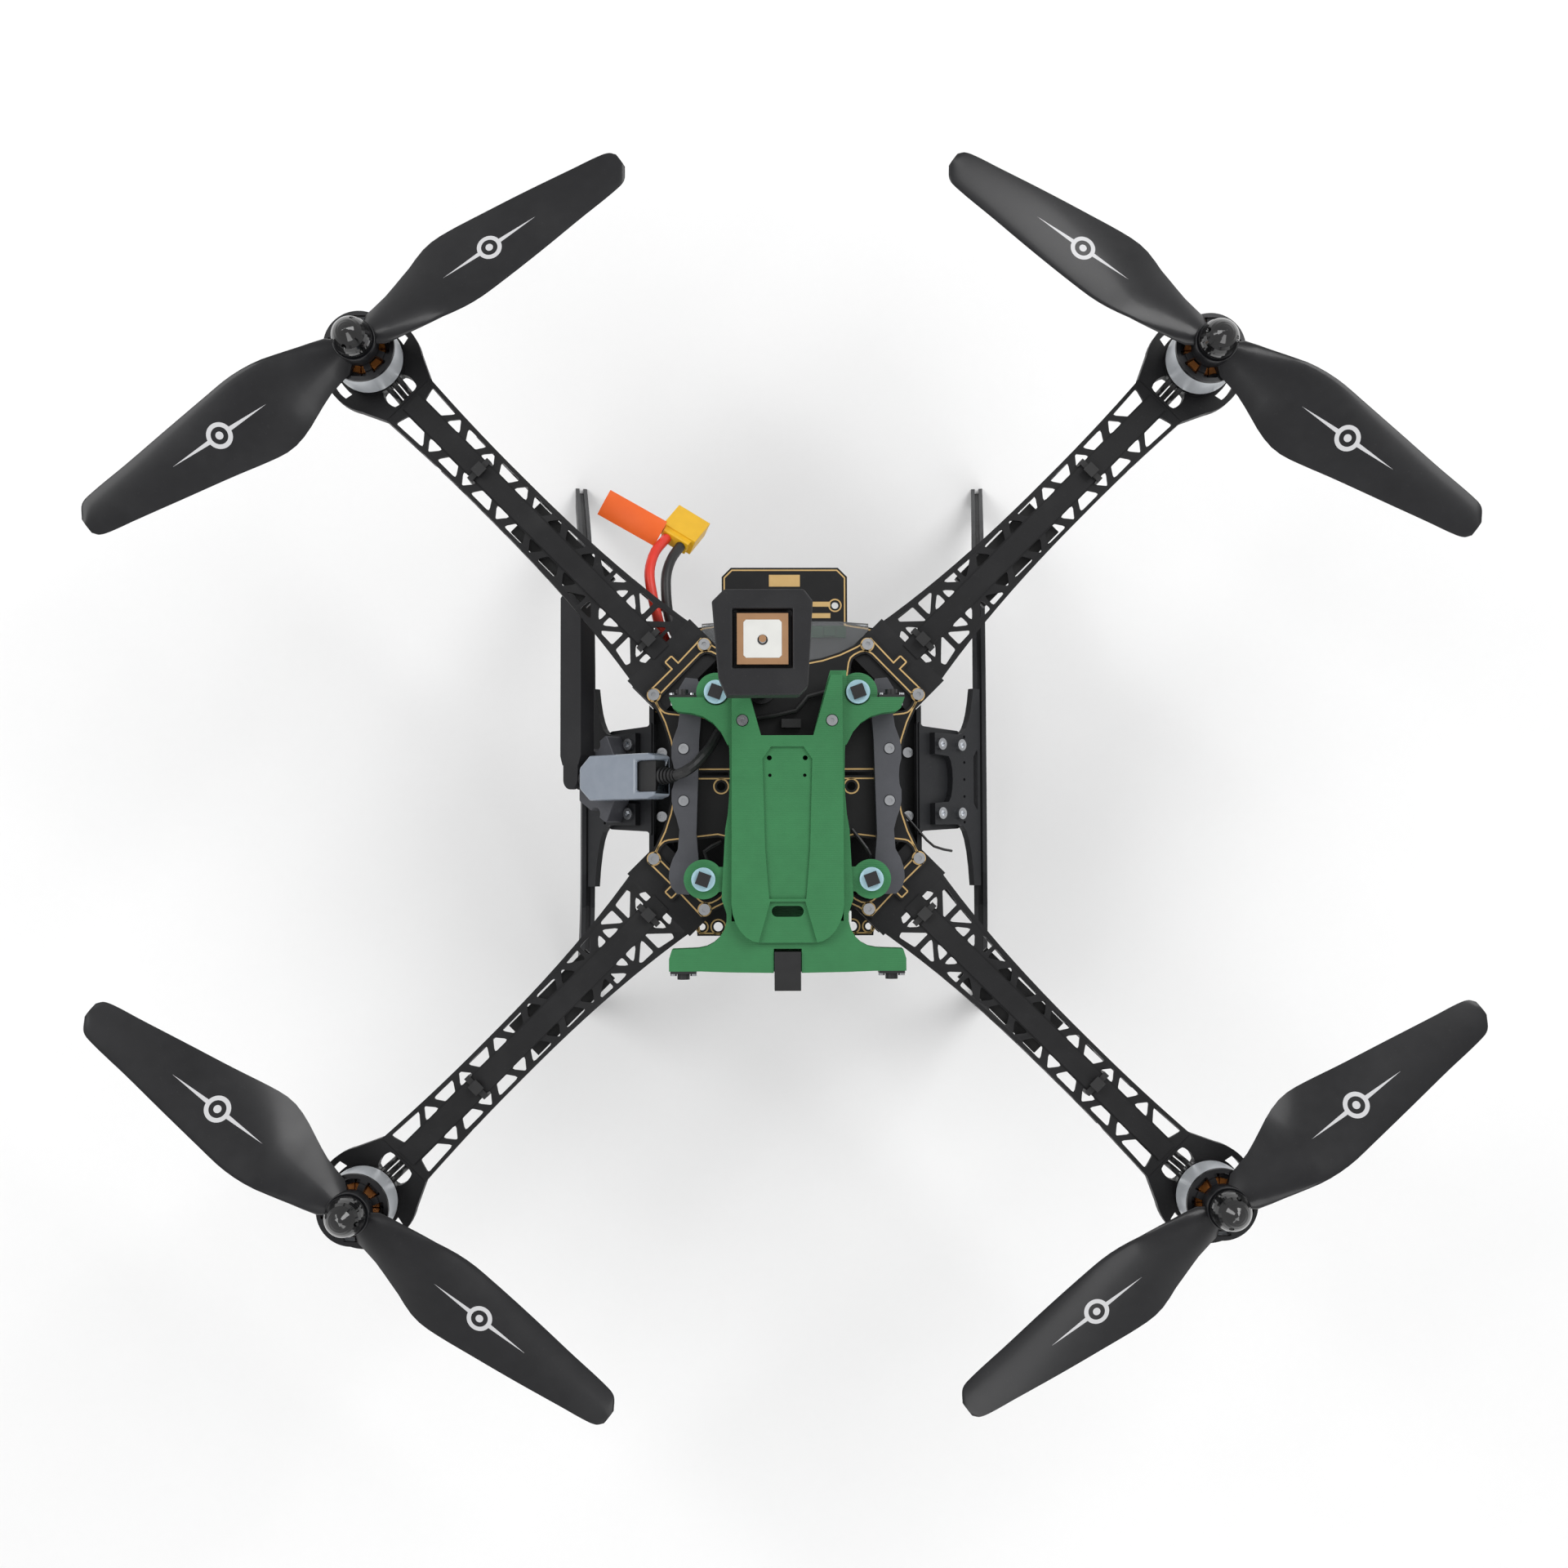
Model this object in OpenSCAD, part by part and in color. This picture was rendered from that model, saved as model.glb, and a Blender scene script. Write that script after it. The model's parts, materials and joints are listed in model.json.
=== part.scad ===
// Quadcopter drone: a four-arm frame with printed deck, four motors and fixed-pitch propellers.
// Millimetres, +Z up, ground at z = 0. The nose faces -Y, so +Y is the tail and -X the right side.

/* [Frame] */
// Distance between diagonally opposite motor shafts
wheelbase = 480; // [400:5:560]
// Height of the top plate's upper face above the ground
frame_h = 170; // [140:1:210]
// Clear height between the two plates, where the arm roots sit
root_h = 30; // [26:1:34]
// Thickness of each plate
plate_t = 1.6; // [1.2:0.1:2.4]
// Half width of the plates at their side corners
plate_half_w = 58.5; // [56:0.5:62]
// Depth of the concave bite in each side of the top plate
plate_bite = 11.5; // [8:0.5:14]
// Screw that clamps the plates and arms
frame_screw_d = 2.5; // [2:0.1:3]

/* [Arms] */
// Half width of the arm at its root
arm_root_half_w = 18; // [17:0.5:19]
// Half width of the arm at its slimmest
arm_waist_half_w = 10.8; // [10.4:0.1:12]
// Thickness of the arm's side walls
arm_wall = 1.6; // [1.2:0.1:2]
// Thickness of the arm's pierced top flange
arm_flange_t = 2.2; // [1.8:0.1:3]
// Height that the arm rises from root to motor pad
arm_rise = 12.6; // [8:0.2:18]
// Radius of the motor pad
pad_r = 20.5; // [19:0.5:23]
// Thickness of the motor pad
pad_t = 5; // [4:0.5:6]

/* [Motors] */
// Outer diameter of the motor
motor_d = 28; // [26:0.5:32]
// Outer diameter of the stator stack
stator_d = 22; // [20:0.5:23]
// Height of the stator stack
stator_h = 11; // [9:0.5:14]
// Diameter of the motor shaft
shaft_d = 4; // [3:0.5:5]
// Diameter of the threaded propeller stud
stud_d = 5; // [4:0.5:6]
// Gap between stator and magnets
air_gap = 0.4; // [0.3:0.05:0.6]

/* [Propellers] */
// Propeller diameter
prop_d = 254; // [220:2:280]
// Helical pitch of the blades
prop_pitch = 100; // [80:2:130]
// Diameter of the propeller hub
hub_d = 17; // [15:0.5:20]
// Rest angle of each propeller, rear right, rear left, front right, front left
prop_rest = [34.5, 145, 142.5, 36.5];

/* [Deck] */
// Half width of the deck cover
deck_half_w = 22.5; // [20:0.5:24]
// Height of the deck tray's floor above the top plate
deck_lift = 10; // [9:0.5:12]
// Height of the tray's side walls
tray_h = 10; // [8:0.5:12]
// Wall thickness of the tray
tray_wall = 2; // [1.6:0.1:2.6]
// Thickness of the deck cover
cover_t = 3.8; // [3:0.1:5]
// Height of the rails that carry the dampers
rail_h = 7; // [6:0.5:7.5]

/* [Position receiver] */
// Height of the receiver case's top above the ground
mast_top = 282; // [250:1:300]
// Diameter of the mast
mast_d = 8; // [6:0.5:10]
// Side of the ceramic patch
patch_w = 18; // [15:0.5:20]

/* [Landing gear] */
// Angle at which the leg flanges slope down
flange_angle = 40; // [35:1:45]
// Angle at which the legs lean outward
leg_lean = 7.4; // [5:0.1:10]
// Overall thickness of a leg
leg_t = 5.8; // [5:0.1:7]
// Distance behind the centre of the rear feet
rear_foot_y = 152; // [130:1:160]
// Distance ahead of the centre of the front feet
front_foot_y = 106; // [90:1:112]

/* [Radio] */
// Length of the radio stick
dongle_l = 43.5; // [40:0.5:45]
// Width of the radio stick
dongle_w = 18.8; // [16:0.2:22]
// Thickness of the radio stick
dongle_t = 10; // [8:0.5:12]
// Length of the antenna paddle
paddle_l = 80; // [70:1:84]
// Width of the antenna paddle
paddle_w = 12.5; // [11:0.5:14]

/* [Battery lead] */
// Outer diameter of each battery wire
lead_d = 4.4; // [3.6:0.1:5]

/* [Hidden] */
$fn = 48;
eps = 0.01;

// Arms are drawn along +X and turned to these angles
REAR_RIGHT = 135;
REAR_LEFT = 45;
FRONT_RIGHT = 225;
FRONT_LEFT = 315;
ARM_ANGLES = [REAR_RIGHT, REAR_LEFT, FRONT_RIGHT, FRONT_LEFT];

// Heights
hub_u = wheelbase / 2;
top_plate_z = frame_h - plate_t;
bottom_plate_z = top_plate_z - root_h - plate_t;
root_z = bottom_plate_z + plate_t;
pad_z = top_plate_z + arm_rise;
base_t = 3;
stator_z = pad_z + base_t + 4;
ring_z = pad_z + 6.5;
ring_h = stator_h + 4.5;
bell_z = ring_z + ring_h;
bell_t = 3;
prop_z = bell_z + bell_t;
hub_h = 8;
nut_z = prop_z + hub_h;
nut_h = 13;

// Arm layout along u
corner_y = 35.5;
corner_edge = (plate_half_w + corner_y) / sqrt(2);
root_u = corner_edge - 11.5;
slope_u = corner_edge + 8.5;
pad_start_u = hub_u - pad_r + 1;
slope_end_u = hub_u - 18;
arm_slope = atan(arm_rise / (slope_end_u - slope_u));
waist_u = 170;
clamp_u = corner_edge - 3.7;
clamp_v = 14.8;
rim_h = 0.15;
spine_half_w = 4.2;
spine_top = 0.8;
spine_depth = 5;
esc_u = 109;
esc_l = 44;
esc_end_u = esc_u + esc_l;
tie_w = 2.4;
TIE_U = [slope_u + 5.9, esc_end_u + 0.374 * (slope_end_u - esc_end_u)];

// Motor and stud fits
slide = 0.15;
magnet_t = 1.2;
magnet_count = 14;
tooth_count = 12;
bearing_d = 8;
bearing_h = 3;
tube_d = 10;
screw_radii = [8, 9.5];

// Deck levels
deck_z = frame_h + deck_lift;
lens_z = deck_z + 6;
CAMERA_SCREW_X = [37.9, 45.9];
wall_top = deck_z + tray_h;
cover_z = wall_top + 0.2;
ear_z = deck_z + 4;
ear_t = 4;
REAR_EAR = [28.7, 33.3];
FRONT_EAR = [33.8, -42.2];
ear_r = 8;
bush_r = 4.8;
bush_neck_r = 3.4;
RAIL_SCREWS = [[42.3, 11.2], [42.3, -10.2]];
COVER_SCREW = [18, 21.5];
notch_bottom_y = 15.5;
front_bar_y = -77;

// Landing gear levels
wall_x = plate_half_w - 0.5;
wall_top_z = root_z + 12.6;
bracket_t = 3;
tab_gap = 0.05;
LEG_SCREWS = [[8, 14.8], [20.2, 14.8]];
BRACKET_SCREWS = [[wall_x - 5, 11.5], [wall_x - 5, -15.9]];
leg_top_z = wall_top_z - 30.5;

// Radio placement, measured in the sloping frame of the leg flange
cradle_t = 9;
paddle_t = 8;

// Battery lead: route of the red wire's centre line, from inside the rear right arm
RED_ROUTE = [
  [-39, 43, 156], [-47, 52, 156.5], [-52, 61, 157.5], [-54.5, 70, 158.5],
  [-56.5, 79, 158.5], [-57.5, 88, 156.5], [-55.5, 97, 151.5], [-51, 104.5, 143.5]
];
// Route of the black wire's centre line
BLACK_ROUTE = [
  [-35.5, 46.5, 154.5], [-42, 54, 154.5], [-47, 62, 155], [-49.5, 69.5, 155.5],
  [-50.5, 78, 155.5], [-50.5, 87, 153.5], [-48.5, 94.5, 149.5], [-45, 101, 143.5]
];
CONNECTOR_PLACE = [-43.6, 109.7, 136.1];
CONNECTOR_TURN = [-131.7, 0, -31.5];

// ---------- helpers ----------

// A point on a cubic curve
function cubic(a, b, c, d, t) =
  pow(1 - t, 3) * a + 3 * t * pow(1 - t, 2) * b + 3 * t * t * (1 - t) * c + t * t * t * d;

// Points along a cubic curve, both ends included
function curve(a, b, c, d, n = 8) = [for (i = [0 : n]) cubic(a, b, c, d, i / n)];

function unit(v) = v / norm(v);
function left_of(v) = [-v.y, v.x];

// An outline with every corner rounded to radius r in two steps
function rounded(pts, r, steps = 2) = [
  for (i = [0 : len(pts) - 1])
    let (
      p = pts[i],
      a = unit(pts[(i + len(pts) - 1) % len(pts)] - p),
      b = unit(pts[(i + 1) % len(pts)] - p),
      half = acos(max(-1, min(1, a * b))) / 2,
      reach = min(r / tan(half), 0.45 * min(
        norm(pts[(i + len(pts) - 1) % len(pts)] - p),
        norm(pts[(i + 1) % len(pts)] - p)
      ))
    )
      for (s = [0 : steps])
        let (t = s / steps)
          p + reach * (a * pow(1 - t, 2) + b * pow(t, 2))
];

// The outline of a band of varying half width along a flat path
function band(path, half) = let (
  last = len(path) - 1,
  dir = [for (i = [0 : last]) unit(path[min(i + 1, last)] - path[max(i - 1, 0)])]
) concat(
  [for (i = [0 : last]) path[i] + left_of(dir[i]) * half[i]],
  [for (i = [last : -1 : 0]) path[i] - left_of(dir[i]) * half[i]]
);

module both_sides() {
  children();
  mirror([1, 0, 0]) children();
}

module at_arms() {
  for (a = ARM_ANGLES) rotate([0, 0, a]) children();
}

module at_motor(angle) {
  rotate([0, 0, angle]) translate([hub_u, 0, 0]) children();
}

// A tube swept through route points, with flat ends
function ring_frame(dir) = let (
  side = unit(cross(dir, [0, 0, 1])),
  up = cross(side, dir)
) [side, up];

function smooth(route, per = 2) = [
  for (i = [0 : len(route) - 2])
    let (
      p0 = route[max(i - 1, 0)],
      p1 = route[i],
      p2 = route[i + 1],
      p3 = route[min(i + 2, len(route) - 1)]
    )
      for (k = [0 : per - 1])
        let (t = k / per)
          0.5 * (2 * p1 + (p2 - p0) * t + (2 * p0 - 5 * p1 + 4 * p2 - p3) * t * t
            + (3 * p1 - p0 - 3 * p2 + p3) * t * t * t),
  route[len(route) - 1]
];

module tube(route, d, sides = 10, per = 2) {
  path = smooth(route, per);
  last = len(path) - 1;
  rings = [
    for (i = [0 : last])
      let (f = ring_frame(unit(path[min(i + 1, last)] - path[max(i - 1, 0)])))
        for (k = [0 : sides - 1])
          path[i] + d / 2 * (cos(360 * k / sides) * f[0] + sin(360 * k / sides) * f[1])
  ];
  walls = [
    for (i = [0 : last - 1], k = [0 : sides - 1])
      let (n = (k + 1) % sides)
        [i * sides + k, i * sides + n, (i + 1) * sides + n, (i + 1) * sides + k]
  ];
  ends = [
    [for (k = [sides - 1 : -1 : 0]) k],
    [for (k = [0 : sides - 1]) last * sides + k]
  ];
  polyhedron(rings, concat(walls, ends), convexity = 6);
}

// A socket-head screw hanging down from its seat at z = 0
module socket_screw(d, length, head_d = 0, head_h = 0) {
  hd = head_d > 0 ? head_d : 1.9 * d;
  hh = head_h > 0 ? head_h : d;
  difference() {
    union() {
      translate([0, 0, -length]) cylinder(h = length + eps, d = d);
      cylinder(h = hh, d = hd);
    }
    translate([0, 0, hh * 0.4]) cylinder(h = hh, d = d * 0.9, $fn = 6);
  }
}

// ---------- plates ----------

// A plate side from corner to corner that bows inward, as points from high y to low y
function bite_arc(half_span, bite, reach, n = 10) = let (
  r = (half_span * half_span + bite * bite) / (2 * bite),
  sweep = asin(half_span / r)
) [
  for (i = [1 : n - 1])
    let (a = sweep * (1 - 2 * i / n))
      [reach - bite + r - r * cos(a), r * sin(a)]
];

corner_x = 35.5;
rear_y = 59;

module clamp_holes(d) {
  for (a = ARM_ANGLES, s = [-1, 1])
    rotate([0, 0, a]) translate([clamp_u, s * clamp_v]) circle(d = d);
}

// Locating tab in the middle of a corner edge, listed clockwise
function corner_tab(angle) = let (
  edge = corner_edge - 0.1,
  tip = edge + 4
) [
  for (p = [[edge, 3], [tip - 1, 3], [tip, 2], [tip, -2], [tip - 1, -3], [edge, -3]])
    [p.x * cos(angle) - p.y * sin(angle), p.x * sin(angle) + p.y * cos(angle)]
];

module top_plate_outline() {
  side = bite_arc(corner_y, plate_bite, plate_half_w);
  end = [for (p = bite_arc(corner_x, plate_bite, rear_y)) [-p.y, p.x]];
  polygon(concat(
    [[plate_half_w, corner_y]], side,
    [[plate_half_w, -corner_y]], corner_tab(FRONT_LEFT),
    [[corner_x, -rear_y]], [for (p = end) [-p.x, -p.y]],
    [[-corner_x, -rear_y]], corner_tab(FRONT_RIGHT),
    [[-plate_half_w, -corner_y]], [for (p = side) [-p.x, -p.y]],
    [[-plate_half_w, corner_y]], corner_tab(REAR_RIGHT),
    [[-corner_x, rear_y]], end,
    [[corner_x, rear_y]], corner_tab(REAR_LEFT)
  ));
}

module corner_window() {
  polygon(rounded([[53.5, 31.5], [33.5, 52], [27.5, 49], [24, 24.5], [50, 27.5]], 3.5));
}

module top_plate() {
  color("#1a1a1c")
    translate([0, 0, top_plate_z]) linear_extrude(plate_t)
      difference() {
        top_plate_outline();
        clamp_holes(frame_screw_d + 0.3);
        for (sx = [-1, 1], sy = [-1, 1]) scale_sign(sx, sy) corner_window();
        both_sides() {
          translate([24, 0.4]) square([12, 1.5]);
          translate([27, -4]) circle(d = 3.6);
          for (p = RAIL_SCREWS) translate(p) circle(d = 2.6);
        }
      }
}

// Mirrored copies without a negative scale
module scale_sign(sx, sy) {
  mirror([sx < 0 ? 1 : 0, 0, 0]) mirror([0, sy < 0 ? 1 : 0, 0]) children();
}

tail_y = 92.5;
nose_y = -67.3;
NOSE_HOLES = [[36, -63.4], [29, -63.4]];

module bottom_plate_outline() {
  polygon([
    [plate_half_w - 1.5, corner_y], [plate_half_w - 1.5, -corner_y], [39, -rear_y + 2],
    [38, nose_y], [-38, nose_y], [-39, -rear_y + 2],
    [-plate_half_w + 1.5, -corner_y], [-plate_half_w + 1.5, corner_y], [-39.3, rear_y - 3],
    [-39.3, 66], [-27.3, 68], [-27.3, tail_y - 4], [-23.3, tail_y],
    [23.3, tail_y], [27.3, tail_y - 4], [27.3, 68], [39.3, 66], [39.3, rear_y - 3]
  ]);
}

module bottom_plate() {
  color("#1a1a1c")
    translate([0, 0, bottom_plate_z]) linear_extrude(plate_t)
      difference() {
        bottom_plate_outline();
        clamp_holes(frame_screw_d + 0.3);
        both_sides() {
          for (p = BRACKET_SCREWS) translate(p) circle(d = frame_screw_d + 0.3);
          translate(NOSE_HOLES[0]) circle(d = 3);
          translate(NOSE_HOLES[1]) circle(d = 4);
          translate([22, 76]) circle(d = 3);
          translate([14, -52]) circle(d = 3.2);
          translate([14, 34]) circle(d = 3.2);
        }
        translate([-8, 70]) square([16, 3]);
      }
}

// ---------- arms ----------

// Half width of the arm at distance u from the centre
function arm_half(u) = arm_waist_half_w + (u < waist_u
  ? (arm_root_half_w - arm_waist_half_w) * pow((waist_u - u) / (waist_u - 70), 2.5)
  : 2 * pow((u - waist_u) / 55, 2));

module arm_outline(inset = 0) {
  steps = [for (i = [0 : 18]) slope_u - 5 + i * (slope_end_u + 5 - slope_u) / 18];
  polygon(concat(
    [[root_u + inset, arm_root_half_w + 0.3 - inset]],
    [for (u = steps) [u, arm_half(u) - inset]],
    [[hub_u - 12, pad_r - 4 - inset], [hub_u - 12, -pad_r + 4 + inset]],
    [for (i = [len(steps) - 1 : -1 : 0]) [steps[i], -arm_half(steps[i]) + inset]],
    [[root_u + inset, -arm_root_half_w - 0.3 + inset]]
  ));
}

module pierce(pts) {
  polygon(rounded(pts, 0.8));
}

// One side of the pierced pattern
module half_lattice() {
  // irregular openings near the root, for the cable tie and the plate's corner
  pierce([[70.5, 4.6], [77.6, 4.6], [77.6, 9.5]]);
  pierce([[79, 4.6], [83.6, 4.6], [79, 9.6]]);
  pierce([[79.3, 12.2], [80, 14.2], [87.6, 12.6], [87.6, 5], [86.8, 5]]);
  pierce([[90, 4.8], [97.4, 11.2], [96.2, 12], [90, 12.2]]);
  pierce([[92.6, 4.6], [98.9, 4.6], [98.9, 9.6]]);
  pierce([[100.8, 4.6], [105.3, 4.6], [100.8, 9.4]]);
  pierce([[103.4, 11], [109.6, 5.2], [109.9, 11]]);
  pierce([[111.6, 5.2], [118.2, 9.6], [118, 10.4], [111.6, 10.8]]);
  // the regular run: triangles with their base inward, trapezoids with their base outward
  for (k = [0 : 4]) {
    u = 121.8 + k * 19.3;
    pierce([[u - 4, 4.7], [u + 4, 4.7], [u + 0.4, 9.2], [u - 0.4, 9.2]]);
  }
  for (k = [0 : 3]) {
    u = 131.4 + k * 19.2;
    pierce([[u - 5.6, 9.2], [u + 5.6, 9.2], [u + 2.8, 4.9], [u - 2.8, 4.9]]);
  }
  pierce([[201.5, 9.8], [216.4, 10.6], [214.8, 4.9], [205.6, 4.9]]);
}

// Height of the arm's lower edge
module arm_side_profile() {
  pad_bottom = pad_z - pad_t;
  polygon([
    [root_u, root_z], [slope_u + 1, root_z], [slope_u + 9, root_z + 7.5], [slope_u + 25, root_z + 14.8],
    [130, root_z + 19], [170, root_z + 23.6], [slope_end_u, pad_bottom - 5],
    [hub_u - 12, pad_bottom - 2], [hub_u - 12, pad_z],
    [slope_end_u, pad_z], [slope_u, top_plate_z], [root_u, top_plate_z]
  ]);
}

// Triangular side openings between the flange and the lower rail
module side_windows() {
  function top_at(u) = top_plate_z - 3.2 + (u - slope_u) * tan(arm_slope);
  function low_at(u) = root_z + 20.4 + (u - 130) * 0.115;
  polygon(rounded([
    [79.5, top_at(79.5) - 1], [80, root_z + 9], [101.4, root_z + 17.6], [101.4, top_at(101.4)]
  ], 1.5));
  for (k = [0 : 8]) {
    u = 108 + k * 12;
    flip = k % 2 == 0;
    polygon(rounded(
      flip
        ? [[u - 4.4, top_at(u)], [u + 4.4, top_at(u)], [u, low_at(u)]]
        : [[u - 4.4, low_at(u)], [u, top_at(u)], [u + 4.4, low_at(u)]],
      0.6
    ));
  }
}

// Moves the level drawing plane onto the arm's sloping top face
module on_slope() {
  translate([slope_u, 0, top_plate_z]) rotate([0, -arm_slope, 0])
    translate([-slope_u, 0, 0]) children();
}

module arm_walls() {
  intersection() {
    translate([0, 0, root_z - 1]) linear_extrude(root_h + arm_rise + 2)
      difference() {
        arm_outline();
        arm_outline(arm_wall);
      }
    rotate([90, 0, 0]) translate([0, 0, -30]) linear_extrude(60)
      difference() {
        arm_side_profile();
        side_windows();
      }
  }
}

// The flange sits just inside the walls and a hair below their rim
module arm_flange() {
  on_slope()
    translate([0, 0, -arm_flange_t - rim_h]) linear_extrude(arm_flange_t)
      difference() {
        intersection() {
          arm_outline(0.3);
          translate([slope_u - 7, -30]) square([slope_end_u - slope_u + 5.5, 60]);
        }
        half_lattice();
        mirror([0, 1, 0]) half_lattice();
        translate([100, 0]) circle(d = 1.6);
      }
  on_slope()
    translate([slope_u - 1.5, -spine_half_w, -spine_depth])
      cube([slope_end_u - slope_u - 2.5, 2 * spine_half_w, spine_depth + spine_top]);
}

module arm_root() {
  difference() {
    union() {
      for (z = [root_z, top_plate_z - 3])
        translate([root_u, -arm_root_half_w - 0.3, z])
          cube([slope_u - root_u, 2 * arm_root_half_w + 0.6, 3]);
      for (s = [-1, 1]) {
        translate([clamp_u, s * clamp_v, root_z]) cylinder(h = root_h, d = 7);
        translate([clamp_u, s * (arm_root_half_w - 2) - 2, root_z]) cube([12, 4, root_h]);
      }
    }
    for (s = [-1, 1])
      translate([clamp_u, s * clamp_v, root_z - 1])
        cylinder(h = root_h + 2, d = frame_screw_d + 0.2);
  }
}

module motor_pad() {
  translate([0, 0, pad_z - pad_t]) linear_extrude(pad_t)
    difference() {
      union() {
        translate([hub_u, 0]) circle(r = pad_r);
        polygon([
          [slope_end_u - 3, arm_half(slope_end_u)], [hub_u - 11, pad_r - 3.2],
          [hub_u - 11, -pad_r + 3.2], [slope_end_u - 3, -arm_half(slope_end_u)]
        ]);
      }
      polygon(rounded([
        [hub_u - motor_d / 2 - 6, 6.5], [hub_u - motor_d / 2 - 1.5, 7], [hub_u - 12, 6],
        [hub_u - 12, -6], [hub_u - motor_d / 2 - 1.5, -7], [hub_u - motor_d / 2 - 6, -6.5]
      ], 2));
      translate([hub_u, 0]) {
        circle(d = tube_d + 1);
        for (i = [0 : 3])
          rotate([0, 0, 45 + 90 * i]) translate([screw_radii[i % 2], 0]) circle(d = 3.2);
        for (s = [-1, 1])
          intersection() {
            difference() {
              circle(r = pad_r - 2.4);
              circle(r = pad_r - 5.6);
            }
            rotate([0, 0, s * 78]) translate([0, -6.5]) square([30, 13]);
          }
      }
    }
}

module arm(angle) {
  color("#1c1c1e") rotate([0, 0, angle]) {
    arm_walls();
    arm_flange();
    arm_root();
    motor_pad();
  }
}

module arm_rear_right() { arm(REAR_RIGHT); }
module arm_rear_left() { arm(REAR_LEFT); }
module arm_front_right() { arm(FRONT_RIGHT); }
module arm_front_left() { arm(FRONT_LEFT); }

// Screws through both plates, and those that hold the brackets and legs
module frame_screws() {
  color("#c8ccd0") {
    at_arms()
      for (s = [-1, 1]) translate([clamp_u, s * clamp_v, 0]) {
        translate([0, 0, frame_h]) socket_screw(frame_screw_d, 14);
        translate([0, 0, bottom_plate_z]) mirror([0, 0, 1]) socket_screw(frame_screw_d, 14);
      }
    both_sides() {
      for (p = BRACKET_SCREWS)
        translate([p.x, p.y, root_z + bracket_t]) socket_screw(frame_screw_d, 5.5, 4.4, 2);
      on_flange() for (p = LEG_SCREWS, s = [-1, 1])
        translate([p.x, s * p.y, bracket_t + tab_gap]) socket_screw(2.9, 6.5, 5, 2);
    }
  }
}

// ---------- landing gear ----------

// Frame of the left flange: x runs down the slope from the wall, z is square to it
module on_flange() {
  translate([wall_x, 0, wall_top_z]) rotate([0, flange_angle, 0]) children();
}

module gear_bracket() {
  difference() {
    union() {
      translate([wall_x - 10, -37, root_z]) cube([10, 71, bracket_t]);
      translate([wall_x - 2, -37, root_z]) cube([2, 71, wall_top_z - root_z]);
      on_flange() translate([-1.2, 0, -bracket_t]) linear_extrude(bracket_t)
        polygon(rounded([
          [0, 24.5], [2, 22.4], [25, 21.2], [25, -21.2], [2, -22.4], [0, -24.5]
        ], 1.6));
    }
    for (p = BRACKET_SCREWS)
      translate([p.x, p.y, root_z - 1]) cylinder(h = bracket_t + 2, d = frame_screw_d + 0.2);
    on_flange() for (p = LEG_SCREWS, s = [-1, 1])
      translate([p.x, s * p.y, -bracket_t - 1]) cylinder(h = bracket_t + 3, d = 3.1);
    // the inner edge of each floor clears the arm roots
    for (a = [REAR_LEFT, FRONT_LEFT])
      rotate([0, 0, a]) translate([root_u - 1, -arm_root_half_w - 0.8, root_z - 1])
        cube([26, 2 * arm_root_half_w + 1.6, root_h]);
  }
}

module gear_bracket_left() { color("#2c2d30") gear_bracket(); }
module gear_bracket_right() { color("#2c2d30") mirror([1, 0, 0]) gear_bracket(); }

// The legs run on a little below the ground, where the leaning feet are cut flat
foot_dip = 4;
function below(foot, knee) = foot - (knee - foot) * foot_dip / (knee.y - foot.y);

function leg_path() =
  let (front_foot = [-front_foot_y, 0], front_knee = [-92, 62],
    rear_foot = [rear_foot_y, 0], rear_knee = [120, 62])
  concat(
    [below(front_foot, front_knee)],
    curve(front_foot, front_knee, [-76, leg_top_z], [-40, leg_top_z], 9),
    [[-12, leg_top_z], [12, leg_top_z]],
    curve([32, leg_top_z], [86, leg_top_z], rear_knee, rear_foot, 11),
    [below(rear_foot, rear_knee)]
  );

// Half width of the leg's band: wide along the top, slim at the feet
function leg_half(p, inset) = 4.6 + 7 * pow(max(p.y, 0) / leg_top_z, 1.6) - inset;

module leg_band(inset, thickness) {
  path = leg_path();
  rotate([90, 0, 90]) linear_extrude(thickness)
    intersection() {
      polygon(band(path, [for (p = path) leg_half(p, inset)]));
      translate([-200, -foot_dip]) square([400, leg_top_z + 12 + foot_dip]);
    }
}

skin_t = 1.9;
tab_edge = 33.6;
slot_t = 29.4;
// The leg's inner skin passes just inside the tab's outer edge
foot_x = wall_x + tab_edge * cos(flange_angle) - 0.8 + leg_t
  + (wall_top_z - tab_edge * sin(flange_angle)) * tan(leg_lean);

// The sloping tab that bolts to the bracket and joins the leg's inner skin
module leg_tab() {
  on_flange() translate([0, 0, tab_gap]) linear_extrude(bracket_t)
    difference() {
      polygon(concat(
        [[5.2, 19.7], [5.2, 10.5]],
        curve([13.7, 9.8], [17, 7], [17, -7], [13.7, -9.8], 6),
        [[5.2, -10.5], [5.2, -19.7]],
        curve([20.6, -19.5], [25, -19.5], [28, -28], [29.4, -46], 6),
        [[tab_edge, -46], [tab_edge, 40]],
        curve([29.4, 40], [28, 28], [25, 19.5], [20.6, 19.5], 6)
      ));
      for (p = LEG_SCREWS, s = [-1, 1]) translate([p.x, s * p.y]) circle(d = 3.1);
      for (y = [-18.5, -7.4, 0, 7.4, 18.5]) translate([23.5, y]) circle(d = 1.3);
      polygon(rounded([
        [slot_t + 2.6, -14], [slot_t + 2.6, 14], [slot_t, 10.2], [slot_t, -10.2]
      ], 0.6));
    }
}

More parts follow.
